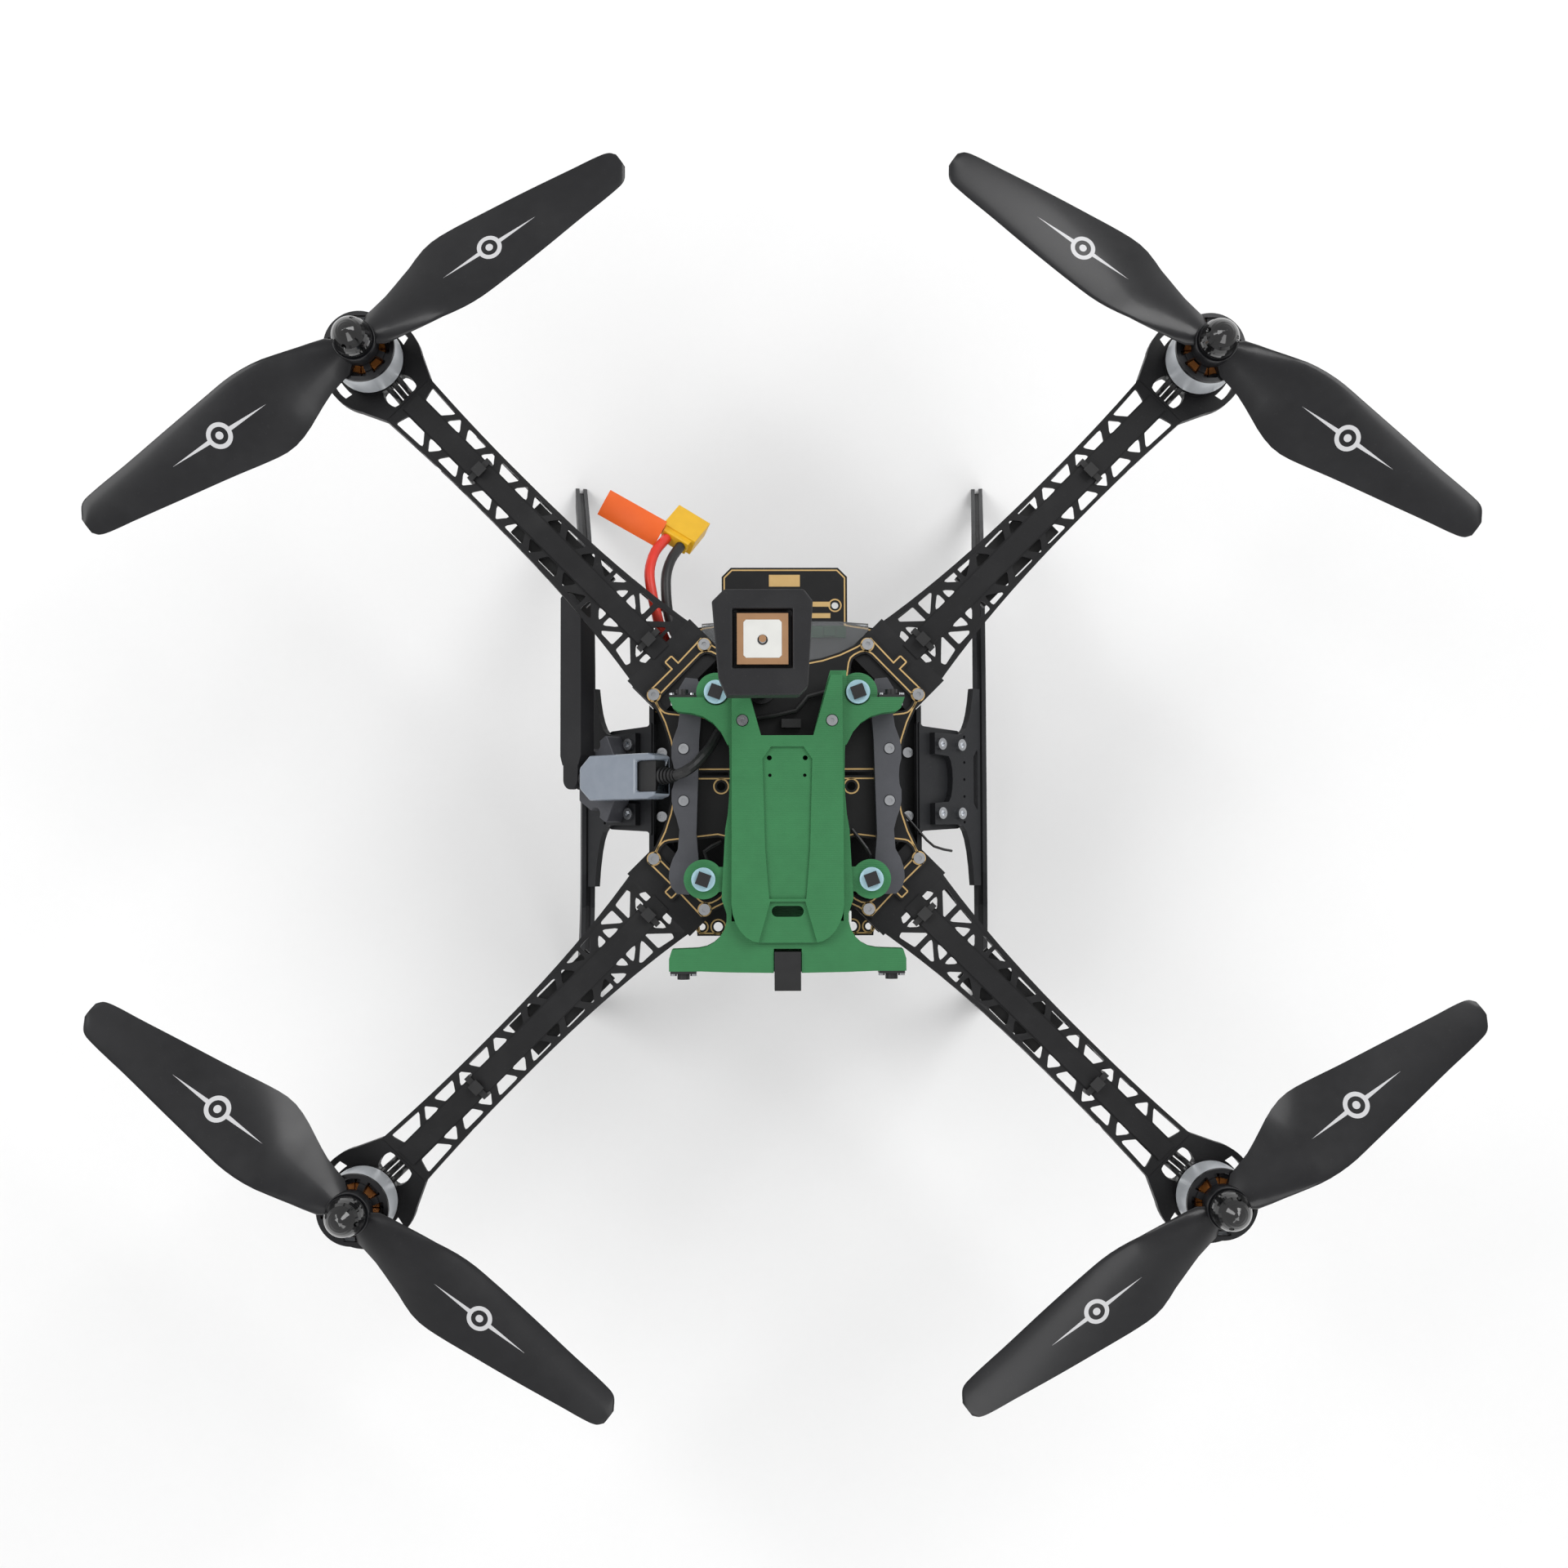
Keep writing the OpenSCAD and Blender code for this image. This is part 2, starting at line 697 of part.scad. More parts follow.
module leg() {
  translate([foot_x - leg_t, 0, 0]) rotate([0, -leg_lean, 0]) {
    leg_band(0, skin_t);
    translate([skin_t - eps, 0, 0]) leg_band(2.2, leg_t - 2 * skin_t + 2 * eps);
    translate([leg_t - skin_t, 0, 0]) leg_band(0, skin_t);
  }
  leg_tab();
}

module leg_left() { color("#3c3d40") leg_on_ground(); }
module leg_right() { color("#3c3d40") mirror([1, 0, 0]) leg_on_ground(); }

module leg_on_ground() {
  difference() {
    leg();
    translate([60, -220, -20]) cube([80, 440, 20]);
  }
}

// ---------- motors ----------

module motor_base() {
  difference() {
    union() {
      translate([0, 0, pad_z]) cylinder(h = base_t, d = motor_d - 1);
      translate([0, 0, pad_z]) cylinder(h = bell_z - pad_z - 1.2, d = tube_d);
    }
    translate([0, 0, pad_z - 1]) cylinder(h = bell_z - pad_z, d = shaft_d + 1);
    translate([0, 0, pad_z + 0.6]) cylinder(h = bearing_h, d = bearing_d);
    translate([0, 0, pad_z - 1]) cylinder(h = 2, d = bearing_d);
    translate([0, 0, bell_z - 1.2 - bearing_h]) cylinder(h = bearing_h + 1, d = bearing_d);
    for (i = [0 : 3]) rotate([0, 0, 45 + 90 * i])
      translate([screw_radii[i % 2], 0, pad_z - 1]) cylinder(h = base_t + 2, d = 2.9);
    for (i = [0 : 3]) rotate([0, 0, 90 * i])
      translate([10.4, 0, pad_z - 1]) cylinder(h = base_t + 2, d = 4);
  }
}

module motor_bases() { color("#151517") at_arms() translate([hub_u, 0, 0]) motor_base(); }

module motor_bearings() {
  color("#aeb3b8") at_arms() translate([hub_u, 0, 0])
    for (z = [pad_z + 0.6, bell_z - 1.2 - bearing_h])
      translate([0, 0, z]) difference() {
        cylinder(h = bearing_h, d = bearing_d);
        translate([0, 0, -1]) cylinder(h = bearing_h + 2, d = shaft_d + 0.06);
      }
}

neck_w = 2;
module stator() {
  translate([0, 0, stator_z]) linear_extrude(stator_h)
    difference() {
      union() {
        circle(d = tube_d + 3);
        for (i = [0 : tooth_count - 1]) rotate([0, 0, 360 / tooth_count * i]) {
          translate([tube_d / 2, -neck_w / 2]) square([stator_d / 2 - tube_d / 2 - 1, neck_w]);
          intersection() {
            difference() {
              circle(d = stator_d);
              circle(d = stator_d - 2.6);
            }
            translate([5, -2.3]) square([10, 4.6]);
          }
        }
      }
      circle(d = tube_d);
    }
}

module motor_stators() { color("#3a3d42") at_arms() translate([hub_u, 0, 0]) stator(); }

module motor_windings() {
  r_in = tube_d / 2 + 1.8;
  r_out = stator_d / 2 - 1.6;
  color("#c8763a") at_arms() translate([hub_u, 0, 0])
    for (i = [0 : tooth_count - 1]) rotate([0, 0, 360 / tooth_count * i])
      difference() {
        translate([0, 0, stator_z - 1.4]) linear_extrude(stator_h + 2.8)
          polygon([[r_in, -1.6], [r_out, -2.2], [r_out, 2.2], [r_in, 1.6]]);
        translate([r_in - 1, -neck_w / 2, stator_z]) cube([10, neck_w, stator_h]);
      }
}

module motor_screws() {
  color("#b8bcc0") at_arms() translate([hub_u, 0, 0])
    for (i = [0 : 3]) rotate([0, 0, 45 + 90 * i])
      translate([screw_radii[i % 2], 0, pad_z - pad_t]) mirror([0, 0, 1])
        socket_screw(2.9, pad_t + 2.6, 5, 1.8);
}

module motor_bell(angle) {
  color("#17171a") at_motor(angle) {
    difference() {
      translate([0, 0, bell_z]) linear_extrude(bell_t)
        difference() {
          circle(d = motor_d);
          for (i = [0 : 7]) rotate([0, 0, 45 * i])
            polygon(rounded([[5.6, -0.9], [12.2, -3.6], [12.2, 3.6], [5.6, 0.9]], 0.7));
        }
      translate([0, 0, prop_z - 1]) difference() {
        cylinder(h = 2, d = motor_d + 2);
        translate([0, 0, -1]) cylinder(h = 3, d = motor_d - 6);
      }
    }
    translate([0, 0, bell_z - 1]) cylinder(h = 1 + eps, d = shaft_d + 2);
    translate([0, 0, pad_z + 0.4]) cylinder(h = bell_z - pad_z, d = shaft_d);
    translate([0, 0, bell_z + 1]) cylinder(h = hub_h + bell_t + 7, d = stud_d);
  }
}

module motor_bell_rear_right() { motor_bell(REAR_RIGHT); }
module motor_bell_rear_left() { motor_bell(REAR_LEFT); }
module motor_bell_front_right() { motor_bell(FRONT_RIGHT); }
module motor_bell_front_left() { motor_bell(FRONT_LEFT); }

// Flux ring with its magnets
module motor_ring(angle) {
  magnet_in = stator_d / 2 + air_gap;
  color("#b9c0c6") at_motor(angle) translate([0, 0, ring_z]) {
    difference() {
      cylinder(h = ring_h, d = motor_d);
      translate([0, 0, -1]) cylinder(h = ring_h + 2, r = magnet_in + magnet_t);
    }
    for (i = [0 : magnet_count - 1]) rotate([0, 0, 360 / magnet_count * i])
      translate([0, 0, 1]) rotate_extrude(angle = 20)
        translate([magnet_in, 0]) square([magnet_t + 0.2, stator_h + 1]);
  }
}

module motor_ring_rear_right() { motor_ring(REAR_RIGHT); }
module motor_ring_rear_left() { motor_ring(REAR_LEFT); }
module motor_ring_front_right() { motor_ring(FRONT_RIGHT); }
module motor_ring_front_left() { motor_ring(FRONT_LEFT); }

// ---------- propellers ----------

// Blade shape at a fraction f of the tip radius
LEAD_EDGE = [[0.025, 3.2], [0.06, 7], [0.15, 9.8], [0.24, 12.3], [0.32, 14.1], [0.39, 14.6],
  [0.47, 13.9], [0.63, 12], [0.79, 9.8], [0.94, 7.9], [0.975, 6.4], [1, 2]];
TRAIL_EDGE = [[0.025, 3.2], [0.06, 7.4], [0.15, 10], [0.24, 14.2], [0.32, 18], [0.37, 19],
  [0.43, 18.4], [0.55, 16], [0.71, 12.9], [0.87, 9.6], [0.95, 8], [0.985, 6.6], [1, 4.4]];
BLADE_T = [[0.025, 3.4], [0.06, 4.4], [0.15, 3.6], [0.3, 2.8], [0.6, 1.8], [1, 1]];
STATIONS = [
  0.025, 0.06, 0.1, 0.15, 0.2, 0.26, 0.32, 0.38, 0.45, 0.55, 0.68, 0.82, 0.92, 0.96, 0.985, 1
];
blade_drop = 3.6;

// Slope of the blade across its chord, eased off towards the hub
function blade_slope(f) = min(0.24 + f * 0.8, prop_pitch / (PI * prop_d * f));

function blade_ring(f) = let (
  r = f * prop_d / 2,
  a = lookup(f, LEAD_EDGE),
  b = lookup(f, TRAIL_EDGE),
  t = lookup(f, BLADE_T),
  s = blade_slope(f),
  shape = [[0, 0], [0.14, 0.75], [0.4, 1.1], [0.72, 0.75], [1, 0],
    [0.72, -0.05], [0.4, -0.05], [0.14, -0.25]]
) [
  for (p = shape)
    let (w = -a + p.x * (a + b))
      [r, w, hub_h - blade_drop - w * s + (p.y - 0.4) * t]
];

module blade() {
  n = 8;
  last = len(STATIONS) - 1;
  pts = [for (f = STATIONS) each blade_ring(f)];
  walls = [
    for (i = [0 : last - 1], k = [0 : n - 1])
      let (m = (k + 1) % n)
        each [
          [i * n + k, i * n + m, (i + 1) * n + m],
          [i * n + k, (i + 1) * n + m, (i + 1) * n + k]
        ]
  ];
  polyhedron(pts, concat(
    walls,
    [[for (k = [n - 1 : -1 : 0]) k]],
    [[for (k = [0 : n - 1]) last * n + k]]
  ), convexity = 4);
}

// hand = 1 turns clockwise seen from above, hand = -1 counter-clockwise
module propeller(angle, rest, hand) {
  color("#1b1b1d") at_motor(angle) rotate([0, 0, rest - angle]) translate([0, 0, prop_z])
    difference() {
      union() {
        cylinder(h = hub_h, d = hub_d);
        for (turn = [0, 180]) rotate([0, 0, turn])
          mirror([0, hand < 0 ? 1 : 0, 0]) blade();
      }
      translate([0, 0, -1]) cylinder(h = hub_h + 2, d = stud_d + 2 * slide);
    }
}

module propeller_rear_right() { propeller(REAR_RIGHT, prop_rest[0], 1); }
module propeller_rear_left() { propeller(REAR_LEFT, prop_rest[1], -1); }
module propeller_front_right() { propeller(FRONT_RIGHT, prop_rest[2], -1); }
module propeller_front_left() { propeller(FRONT_LEFT, prop_rest[3], 1); }

// Bullet-shaped nut on the stud
module prop_nut(angle) {
  r = hub_d / 2 - 0.8;
  profile = curve([r, 3], [r, 7.5], [4.4, 11.4], [0, nut_h], 8);
  color("#101012") at_motor(angle) translate([0, 0, nut_z]) difference() {
    rotate_extrude() polygon(concat([[0, 0], [r - 0.6, 0], [r, 0.6]], profile));
    translate([0, 0, -1]) cylinder(h = 9.4, d = stud_d + slide);
    translate([0, 0, 8.4]) rotate([90, 0, 30]) cylinder(h = 30, d = 2, center = true);
  }
}

module prop_nut_rear_right() { prop_nut(REAR_RIGHT); }
module prop_nut_rear_left() { prop_nut(REAR_LEFT); }
module prop_nut_front_right() { prop_nut(FRONT_RIGHT); }
module prop_nut_front_left() { prop_nut(FRONT_LEFT); }

// ---------- wiring under the arms ----------

esc_w = 17.2;
esc_t = 6.6;
esc_top = -spine_depth - 0.6;

module speed_controllers() {
  color("#202024") at_arms() on_slope()
    translate([esc_u, -esc_w / 2, esc_top - esc_t]) cube([esc_l, esc_w, esc_t]);
}

wire_d = 2.3;
wire_gap = 2.7;
module motor_wires() {
  rise = tan(arm_slope);
  exit_u = hub_u - motor_d / 2 - 0.6;
  function run_z(u) = top_plate_z + (u - slope_u) * rise - 9.2;
  color("#2458b0") at_arms() for (k = [-1 : 1]) {
    v = k * wire_gap;
    tube([
      [hub_u - 7.6, v, pad_z + base_t + 1.3], [exit_u, v, pad_z + base_t + 1.2],
      [exit_u - 2, v, pad_z - 1], [exit_u - 2.8, v, pad_z - pad_t - 1.5],
      [exit_u - 8.4, v, run_z(exit_u - 8.4)], [exit_u - 17.4, v, run_z(exit_u - 17.4)],
      [esc_end_u + 1, v, run_z(esc_end_u + 1)]
    ], wire_d, 8);
  }
}

module cable_tie(half, depth) {
  t = 1.1;
  difference() {
    translate([-tie_w / 2, -half - t, -depth - t]) cube([tie_w, 2 * (half + t), depth + 3.2]);
    translate([-tie_w, -half, -depth]) cube([2 * tie_w, 2 * half, depth + 1]);
  }
  translate([-2.2, -2.4, 2.1 - eps]) cube([4.4, 4.8, 2.2]);
}

module cable_ties() {
  color("#121214") at_arms() on_slope() {
    translate([TIE_U[0], 0, 0]) cable_tie(spine_half_w + 0.5, spine_depth + 0.4);
    translate([TIE_U[1], 0, 0]) cable_tie(spine_half_w + 0.5, 12.2);
  }
}

// Current sensor board in a clear sleeve across the tail
module power_module() {
  color("#c9ccd0") translate([0, 0, root_z + 8]) linear_extrude(6.4)
    polygon(mirrored([[22, 49.5], [35.5, 63], [35.5, 66], [22, 67]]));
}

module receiver() {
  color("#26262a") translate([29, -18, root_z]) cube([17, 12, 14]);
  color("#2458b0") tube([
    [46, -12, wall_top_z - 1], [51, -16, wall_top_z + 1.6], [57, -23, wall_top_z + 1.8],
    [63, -29, wall_top_z + 1.2], [71, -31, wall_top_z - 1.5]
  ], 1.1, 8);
}

module lead_red() { color("#e0341c") tube(RED_ROUTE, lead_d); }
module lead_black() { color("#151517") tube(BLACK_ROUTE, lead_d); }

module lead_connector() {
  color("#d9a800") translate(CONNECTOR_PLACE)
    rotate([0, 0, CONNECTOR_TURN.z]) rotate([CONNECTOR_TURN.x, 0, 0]) {
      difference() {
        linear_extrude(16, center = true) polygon([
          [-8, -4], [8, -4], [8, 4], [-5.5, 4], [-8, 1.5]
        ]);
        for (s = [-1, 1]) translate([s * 3.6, 0, 2]) cylinder(h = 8, d = 3.6);
      }
      translate([0, 0, -9.4]) linear_extrude(3, center = true) square([12.6, 6], center = true);
    }
}

module lead_flag() {
  color("#e05a08") translate([-65.6, 112.6, 147]) rotate([8, 4, -29])
    cube([28, 12, 0.5], center = true);
}

// ---------- deck ----------

// Right half of the deck body, from the notch round to the nose
function body_half() = concat(
  [[10.5, notch_bottom_y], [17.5, 42], [24, 42]],
  [[24.5, 26]],
  curve([24.5, 26], [22.6, 10], [22.6, -12], [25, -22], 6),
  [[26.5, -50], [24.5, -56], [24.5, -71]]
);

function mirrored(pts) = concat(pts, [
  for (i = [len(pts) - 1 : -1 : 0]) [-pts[i].x, pts[i].y]
]);

module deck_body() {
  polygon(mirrored(body_half()));
}

module deck_inner() {
  w = tray_wall;
  polygon(mirrored([
    [10.5, notch_bottom_y - w], [14.8, notch_bottom_y - w + 1], [22, 28],
    [22.3, 24], [20.4, 8], [20.4, -12], [22.5, -23], [22.5, -69]
  ]));
}

// Rear camera arms and front bar seen from above
module camera_arm() {
  polygon(concat(
    [[20, 31.2], [47.6, 31.2], [46, 26.8]],
    curve([44, 25.4], [34, 25], [28, 22], [24, 12], 5),
    [[20, 12]]
  ));
}

module front_bar() {
  polygon(mirrored(concat(
    [[0, front_bar_y - 2.8], [24, front_bar_y - 2.4], [35, front_bar_y - 2],
      [47.6, front_bar_y - 2],
      [47.6, front_bar_y + 3], [46.4, front_bar_y + 6.8]],
    curve([36, front_bar_y + 7.2], [30, front_bar_y + 7.6], [25.4, front_bar_y + 12],
      [24.5, front_bar_y + 18], 5)
  )));
}

module ear(p, reach) {
  translate([p.x, p.y, ear_z]) linear_extrude(ear_t)
    difference() {
      union() {
        circle(r = ear_r);
        translate([-p.x + reach, -5]) square([p.x - reach, 10]);
      }
      circle(r = bush_neck_r);
    }
}

module deck_tray() {
  color("#2f7d4c") {
    difference() {
      union() {
        translate([0, 0, deck_z]) linear_extrude(tray_wall) deck_body();
        translate([0, 0, deck_z]) linear_extrude(tray_h) difference() {
          deck_body();
          deck_inner();
        }
        translate([0, 0, deck_z + 0.6]) linear_extrude(tray_h - 0.6) front_bar();
        both_sides() translate([0, 0, deck_z + 1]) linear_extrude(tray_h - 1) camera_arm();
        both_sides() translate([COVER_SCREW.x, COVER_SCREW.y, deck_z]) cylinder(h = tray_h, r = 4);
      }
      both_sides() translate([COVER_SCREW.x, COVER_SCREW.y, deck_z + 3]) cylinder(h = 12, d = 2.4);
      // clearance for the bushes that sit close to the body
      both_sides() for (p = [REAR_EAR, FRONT_EAR])
        translate([p.x, p.y, deck_z - 1]) cylinder(h = tray_h + 3, r = bush_r + 0.6);
      both_sides() for (x = CAMERA_SCREW_X) {
        translate([x, front_bar_y - 4, deck_z + 6]) rotate([-90, 0, 0]) cylinder(h = 7, d = 1.5);
        translate([x + 0.5, 26, deck_z + 6]) rotate([-90, 0, 0]) cylinder(h = 7, d = 1.5);
      }
      // opening in the nose for the main camera
      translate([-5.6, front_bar_y - 5, deck_z + tray_wall]) cube([11.2, 12, tray_h]);
    }
    both_sides() {
      ear(REAR_EAR, 22.4);
      ear(FRONT_EAR, 25);
    }
  }
}

cover_front_y = -67.5;
module cover_outline() {
  polygon(mirrored(concat(
    [[10.5, notch_bottom_y], [17.6, 40], [22.2, 40], [deck_half_w, -52]],
    curve([deck_half_w, -52], [deck_half_w, -60], [17, cover_front_y], [11, cover_front_y], 6)
  )));
}

module deck_cover() {
  color("#36875a") difference() {
    translate([0, 0, cover_z]) linear_extrude(cover_t) cover_outline();
    // clearance for the bushes
    both_sides() translate([REAR_EAR.x, REAR_EAR.y, cover_z - 1])
      cylinder(h = cover_t + 2, r = bush_r + 0.6);
    // centre channel and nose recess
    translate([0, 0, cover_z + cover_t - 1.2]) linear_extrude(2)
      polygon(mirrored([[6.5, 11], [10, 6], [9, -30], [7.4, -50]]));
    translate([0, 0, cover_z + cover_t - 1.8]) linear_extrude(3)
      polygon(mirrored([[7, -51], [12, cover_front_y - 1]]));
    // wiring slot and hook holes
    translate([0, -55, cover_z - 1]) linear_extrude(cover_t + 2) {
      translate([-4.2, -2.2]) square([8.4, 4.4]);
      for (s = [-1, 1]) translate([s * 4.2, 0]) circle(r = 2.2);
    }
    both_sides() {
      translate([7.2, 6.5, cover_z - 1]) cylinder(h = cover_t + 2, d = 2);
      translate([7, -0.5, cover_z - 1]) cylinder(h = cover_t + 2, d = 1.4);
      translate([COVER_SCREW.x, COVER_SCREW.y, cover_z - 1]) cylinder(h = cover_t + 2, d = 2.6);
      translate([COVER_SCREW.x, COVER_SCREW.y, cover_z + cover_t - 1.4]) cylinder(h = 3, d = 5);
    }
  }
}

module deck_screws() {
  color("#c8ccd0") both_sides() {
    translate([COVER_SCREW.x, COVER_SCREW.y, cover_z + cover_t - 1.4])
      socket_screw(2.2, 8, 4.4, 1.8);
    for (p = RAIL_SCREWS) translate([p.x, p.y, frame_h + rail_h - 1])
      socket_screw(2.4, rail_h + 1.6, 4.2, 1.6);
    for (x = CAMERA_SCREW_X) {
      translate([x, front_bar_y - 3, deck_z + 6]) rotate([90, 0, 0])
        socket_screw(1.4, 4, 2.6, 1);
      translate([x + 0.5, 32.2, deck_z + 6]) rotate([-90, 0, 0]) socket_screw(1.4, 4, 2.6, 1);
    }
  }
}

module flight_board() {
  z = deck_z + tray_wall + 1;
  color("#1d3a2c") translate([-18, -48, z]) cube([36, 52, 1.6]);
  color("#26262a") for (y = [-40, -24, -8])
    translate([-12, y, z + 1.6 - eps]) cube([24, 9, 3.2]);
}

module deck_wires() {
  z = frame_h + 3;
  color("#151517") {
    tube([[-12, 24, z], [4, 27, z + 1], [9, 33, z], [22, 36, z]], 2, 8);
    tube([[-27, -27, z], [-34, -31, z + 2], [-31, -36, z + 1]], 1.6, 8);
    tube([[27, -22, z], [33, -30, z + 2], [35, -34, z + 1]], 1.6, 8);
  }
  color("#8a8f95") translate([-2, 20, frame_h]) cube([8, 3.6, 5]);
}

module damper_bushes() {
  z0 = frame_h + rail_h;
  color("#9fc7d2") both_sides() for (p = [REAR_EAR, FRONT_EAR]) translate([p.x, p.y, 0])
    rotate_extrude() polygon([
      [1.9, z0], [bush_r, z0], [bush_r, ear_z - 0.1], [bush_neck_r - 0.1, ear_z - 0.1],
      [bush_neck_r - 0.1, ear_z + ear_t + 0.1], [bush_r, ear_z + ear_t + 0.1],
      [bush_r, ear_z + ear_t + 3.2], [1.9, ear_z + ear_t + 3.2]
    ]);
}

module damper_plugs() {
  top = ear_z + ear_t + 3.2;
  color("#121214") both_sides() for (p = [REAR_EAR, FRONT_EAR]) translate([p.x, p.y, 0]) {
    translate([0, 0, frame_h + rail_h]) cylinder(h = top - frame_h - rail_h + eps, d = 3.6);
    translate([0, 0, top]) rotate([0, 0, 20]) translate([-2.6, -2.6, 0]) cube([5.2, 5.2, 2.2]);
  }
}

module deck_rails() {
  edge = concat(
    curve([36.5, 40], [33, 30], [36.2, 20], [36, 8], 5),
    [[37, -24], [36, -36], [40, -48.6]],
    curve([45, -48.4], [50.5, -44], [48.5, -36], [44.6, -30], 5),
    curve([44, -22], [45, -16], [47.2, -14], [47.2, -10.2], 3),
    curve([47.2, -6], [45.8, -4], [45.8, 4], [47.2, 7], 4),
    [[47.2, 12]],
    curve([46.6, 15], [43, 22], [43.6, 30], [44.2, 36], 4),
    [[41.5, 40.5]]
  );
  color("#4a4b50") both_sides() translate([0, 0, frame_h]) difference() {
    linear_extrude(rail_h) union() {
      polygon(edge);
      translate(REAR_EAR) circle(r = 5.6);
      translate([REAR_EAR.x, REAR_EAR.y - 5.6]) square([10, 11.2]);
      translate(FRONT_EAR) circle(r = 5.8);
      translate([FRONT_EAR.x, FRONT_EAR.y - 5.8]) square([8, 11.6]);
    }
    for (p = RAIL_SCREWS) {
      translate([p.x, p.y, -1]) cylinder(h = rail_h + 2, d = 2.6);
      translate([p.x, p.y, rail_h - 1]) cylinder(h = 2, d = 4.6);
    }
  }
}

// ---------- cameras ----------

module main_camera() {
  color("#151517") translate([0, 0, deck_z + tray_wall]) difference() {
    translate([-5.3, front_bar_y - 9.8, 0.1]) cube([10.6, 15.6, 9]);
    translate([0, front_bar_y - 9.9, lens_z - deck_z - tray_wall]) rotate([-90, 0, 0])
      cylinder(h = 3, d = 8);
  }
}

module camera_lens() {
  color("#2a3038") translate([0, front_bar_y - 6.9, lens_z]) rotate([90, 0, 0]) difference() {
    cylinder(h = 2.6, d = 7.8);
    translate([0, 0, 1.8]) cylinder(h = 2, r1 = 1.6, r2 = 3.4);
  }
}

// A small camera board standing in the XZ plane, its back at y = 0
module camera_board() {
  mid_x = (CAMERA_SCREW_X[0] + CAMERA_SCREW_X[1]) / 2;
  difference() {
    translate([mid_x - 5.2, 0, deck_z + 2]) cube([10.4, 1, 7.8]);
    for (x = CAMERA_SCREW_X)
      translate([x, -1, deck_z + 6]) rotate([-90, 0, 0]) cylinder(h = 3, d = 1.5);
  }
  translate([mid_x, 1 - eps, deck_z + 6]) rotate([-90, 0, 0]) difference() {
    cylinder(h = 2.4, d = 5);
    translate([0, 0, 1.6]) cylinder(h = 2, d = 3.4);
  }
}

module stereo_cameras() {
  color("#17171a") both_sides() {
    translate([0.5, 31.2, 0]) camera_board();
    translate([0, front_bar_y - 2, 0]) mirror([0, 1, 0]) camera_board();
  }
}

// ---------- position receiver ----------

mast_x = -10.3;
mast_y = 36;
case_t = 12;
module gps_mast() {
  color("#202022") translate([mast_x, mast_y, frame_h]) difference() {
    union() {
      cylinder(h = 3, d = 12);
      cylinder(h = mast_top - case_t - frame_h, d = mast_d);
      translate([0, 0, mast_top - case_t - frame_h - 3]) cylinder(h = 3, d = 16);
    }
    translate([0, 0, -1]) cylinder(h = mast_top - case_t - frame_h + 2, d = mast_d - 2.4);
  }
}

CASE_OUTLINE = [[-28, 56.2], [-23.7, 60.5], [4.3, 60.5], [7.4, 56.4],
  [5.6, 26.7], [2.4, 23.5], [-22.9, 23.3], [-25.7, 29.6]];
patch_x = -10.2;
patch_y = 43.3;
module gps_case() {
  pocket = patch_w + 3;
  color("#222326") translate([0, 0, mast_top - case_t]) difference() {
    linear_extrude(case_t) polygon(CASE_OUTLINE);
    translate([patch_x - pocket / 2, patch_y - pocket / 2, case_t - 5]) cube([pocket, pocket, 6]);
    // sloping shoulders round the pocket
    for (i = [0 : 7]) {
      a = CASE_OUTLINE[i];
      b = CASE_OUTLINE[(i + 1) % 8];
      d = unit(b - a);
      translate([a.x, a.y, case_t - 3.2]) rotate([0, 0, atan2(d.y, d.x)])
        rotate([-48, 0, 0]) translate([-20, 0, 0]) cube([norm(b - a) + 40, 20, 20]);
    }
  }
}

module gps_patch() {
  color("#b9855a") translate([patch_x, patch_y, mast_top - 5]) {
    translate([-patch_w / 2, -patch_w / 2, 0]) cube([patch_w, patch_w, 3.4]);
    translate([0, 0, 3.4 - eps]) cylinder(h = 0.5, d = 2.6);
  }
}

// ---------- radio ----------

// Frame of the right-hand flange: x runs down and outward, z is square to the slope
module on_right_flange() {
  mirror([1, 0, 0]) on_flange() children();
}

stick_z = bracket_t + tab_gap + cradle_t + dongle_t / 2;
stick_x = -23.6;
module dongle_cradle() {
  color("#4a4b50") on_right_flange() translate([0, 0, bracket_t + tab_gap]) difference() {
    linear_extrude(cradle_t) polygon(rounded([
      [8.4, 8.5], [13.6, 18.8], [30, 9], [30, -9], [13.6, -18.8], [8.4, -8.5]
    ], 1));
    for (s = [-1, 1]) translate([LEG_SCREWS[1].x, s * LEG_SCREWS[1].y, -1])
      cylinder(h = cradle_t + 2, d = 5.6);
    for (s = [-1, 1]) translate([LEG_SCREWS[0].x, s * LEG_SCREWS[0].y, -1])
      cylinder(h = cradle_t + 2, d = 5.6);
  }
}

module wifi_dongle() {
  h = dongle_w / 2;
  color("#9aa3ae") on_right_flange() translate([stick_x, 0, stick_z]) difference() {
    translate([0, 0, -dongle_t / 2]) linear_extrude(dongle_t) polygon([
      [0, h - 1.2], [4, h], [dongle_l - 6, h], [dongle_l, h - 5],
      [dongle_l, -h + 5], [dongle_l - 6, -h], [4, -h], [0, -h + 1.2]
    ]);
    translate([-1, -6.4, -3]) cube([hood_l + 1, 12.8, 6]);
    translate([-1, -6.4, 0]) cube([hood_l - 1.4, 12.8, dongle_t]);
  }
}

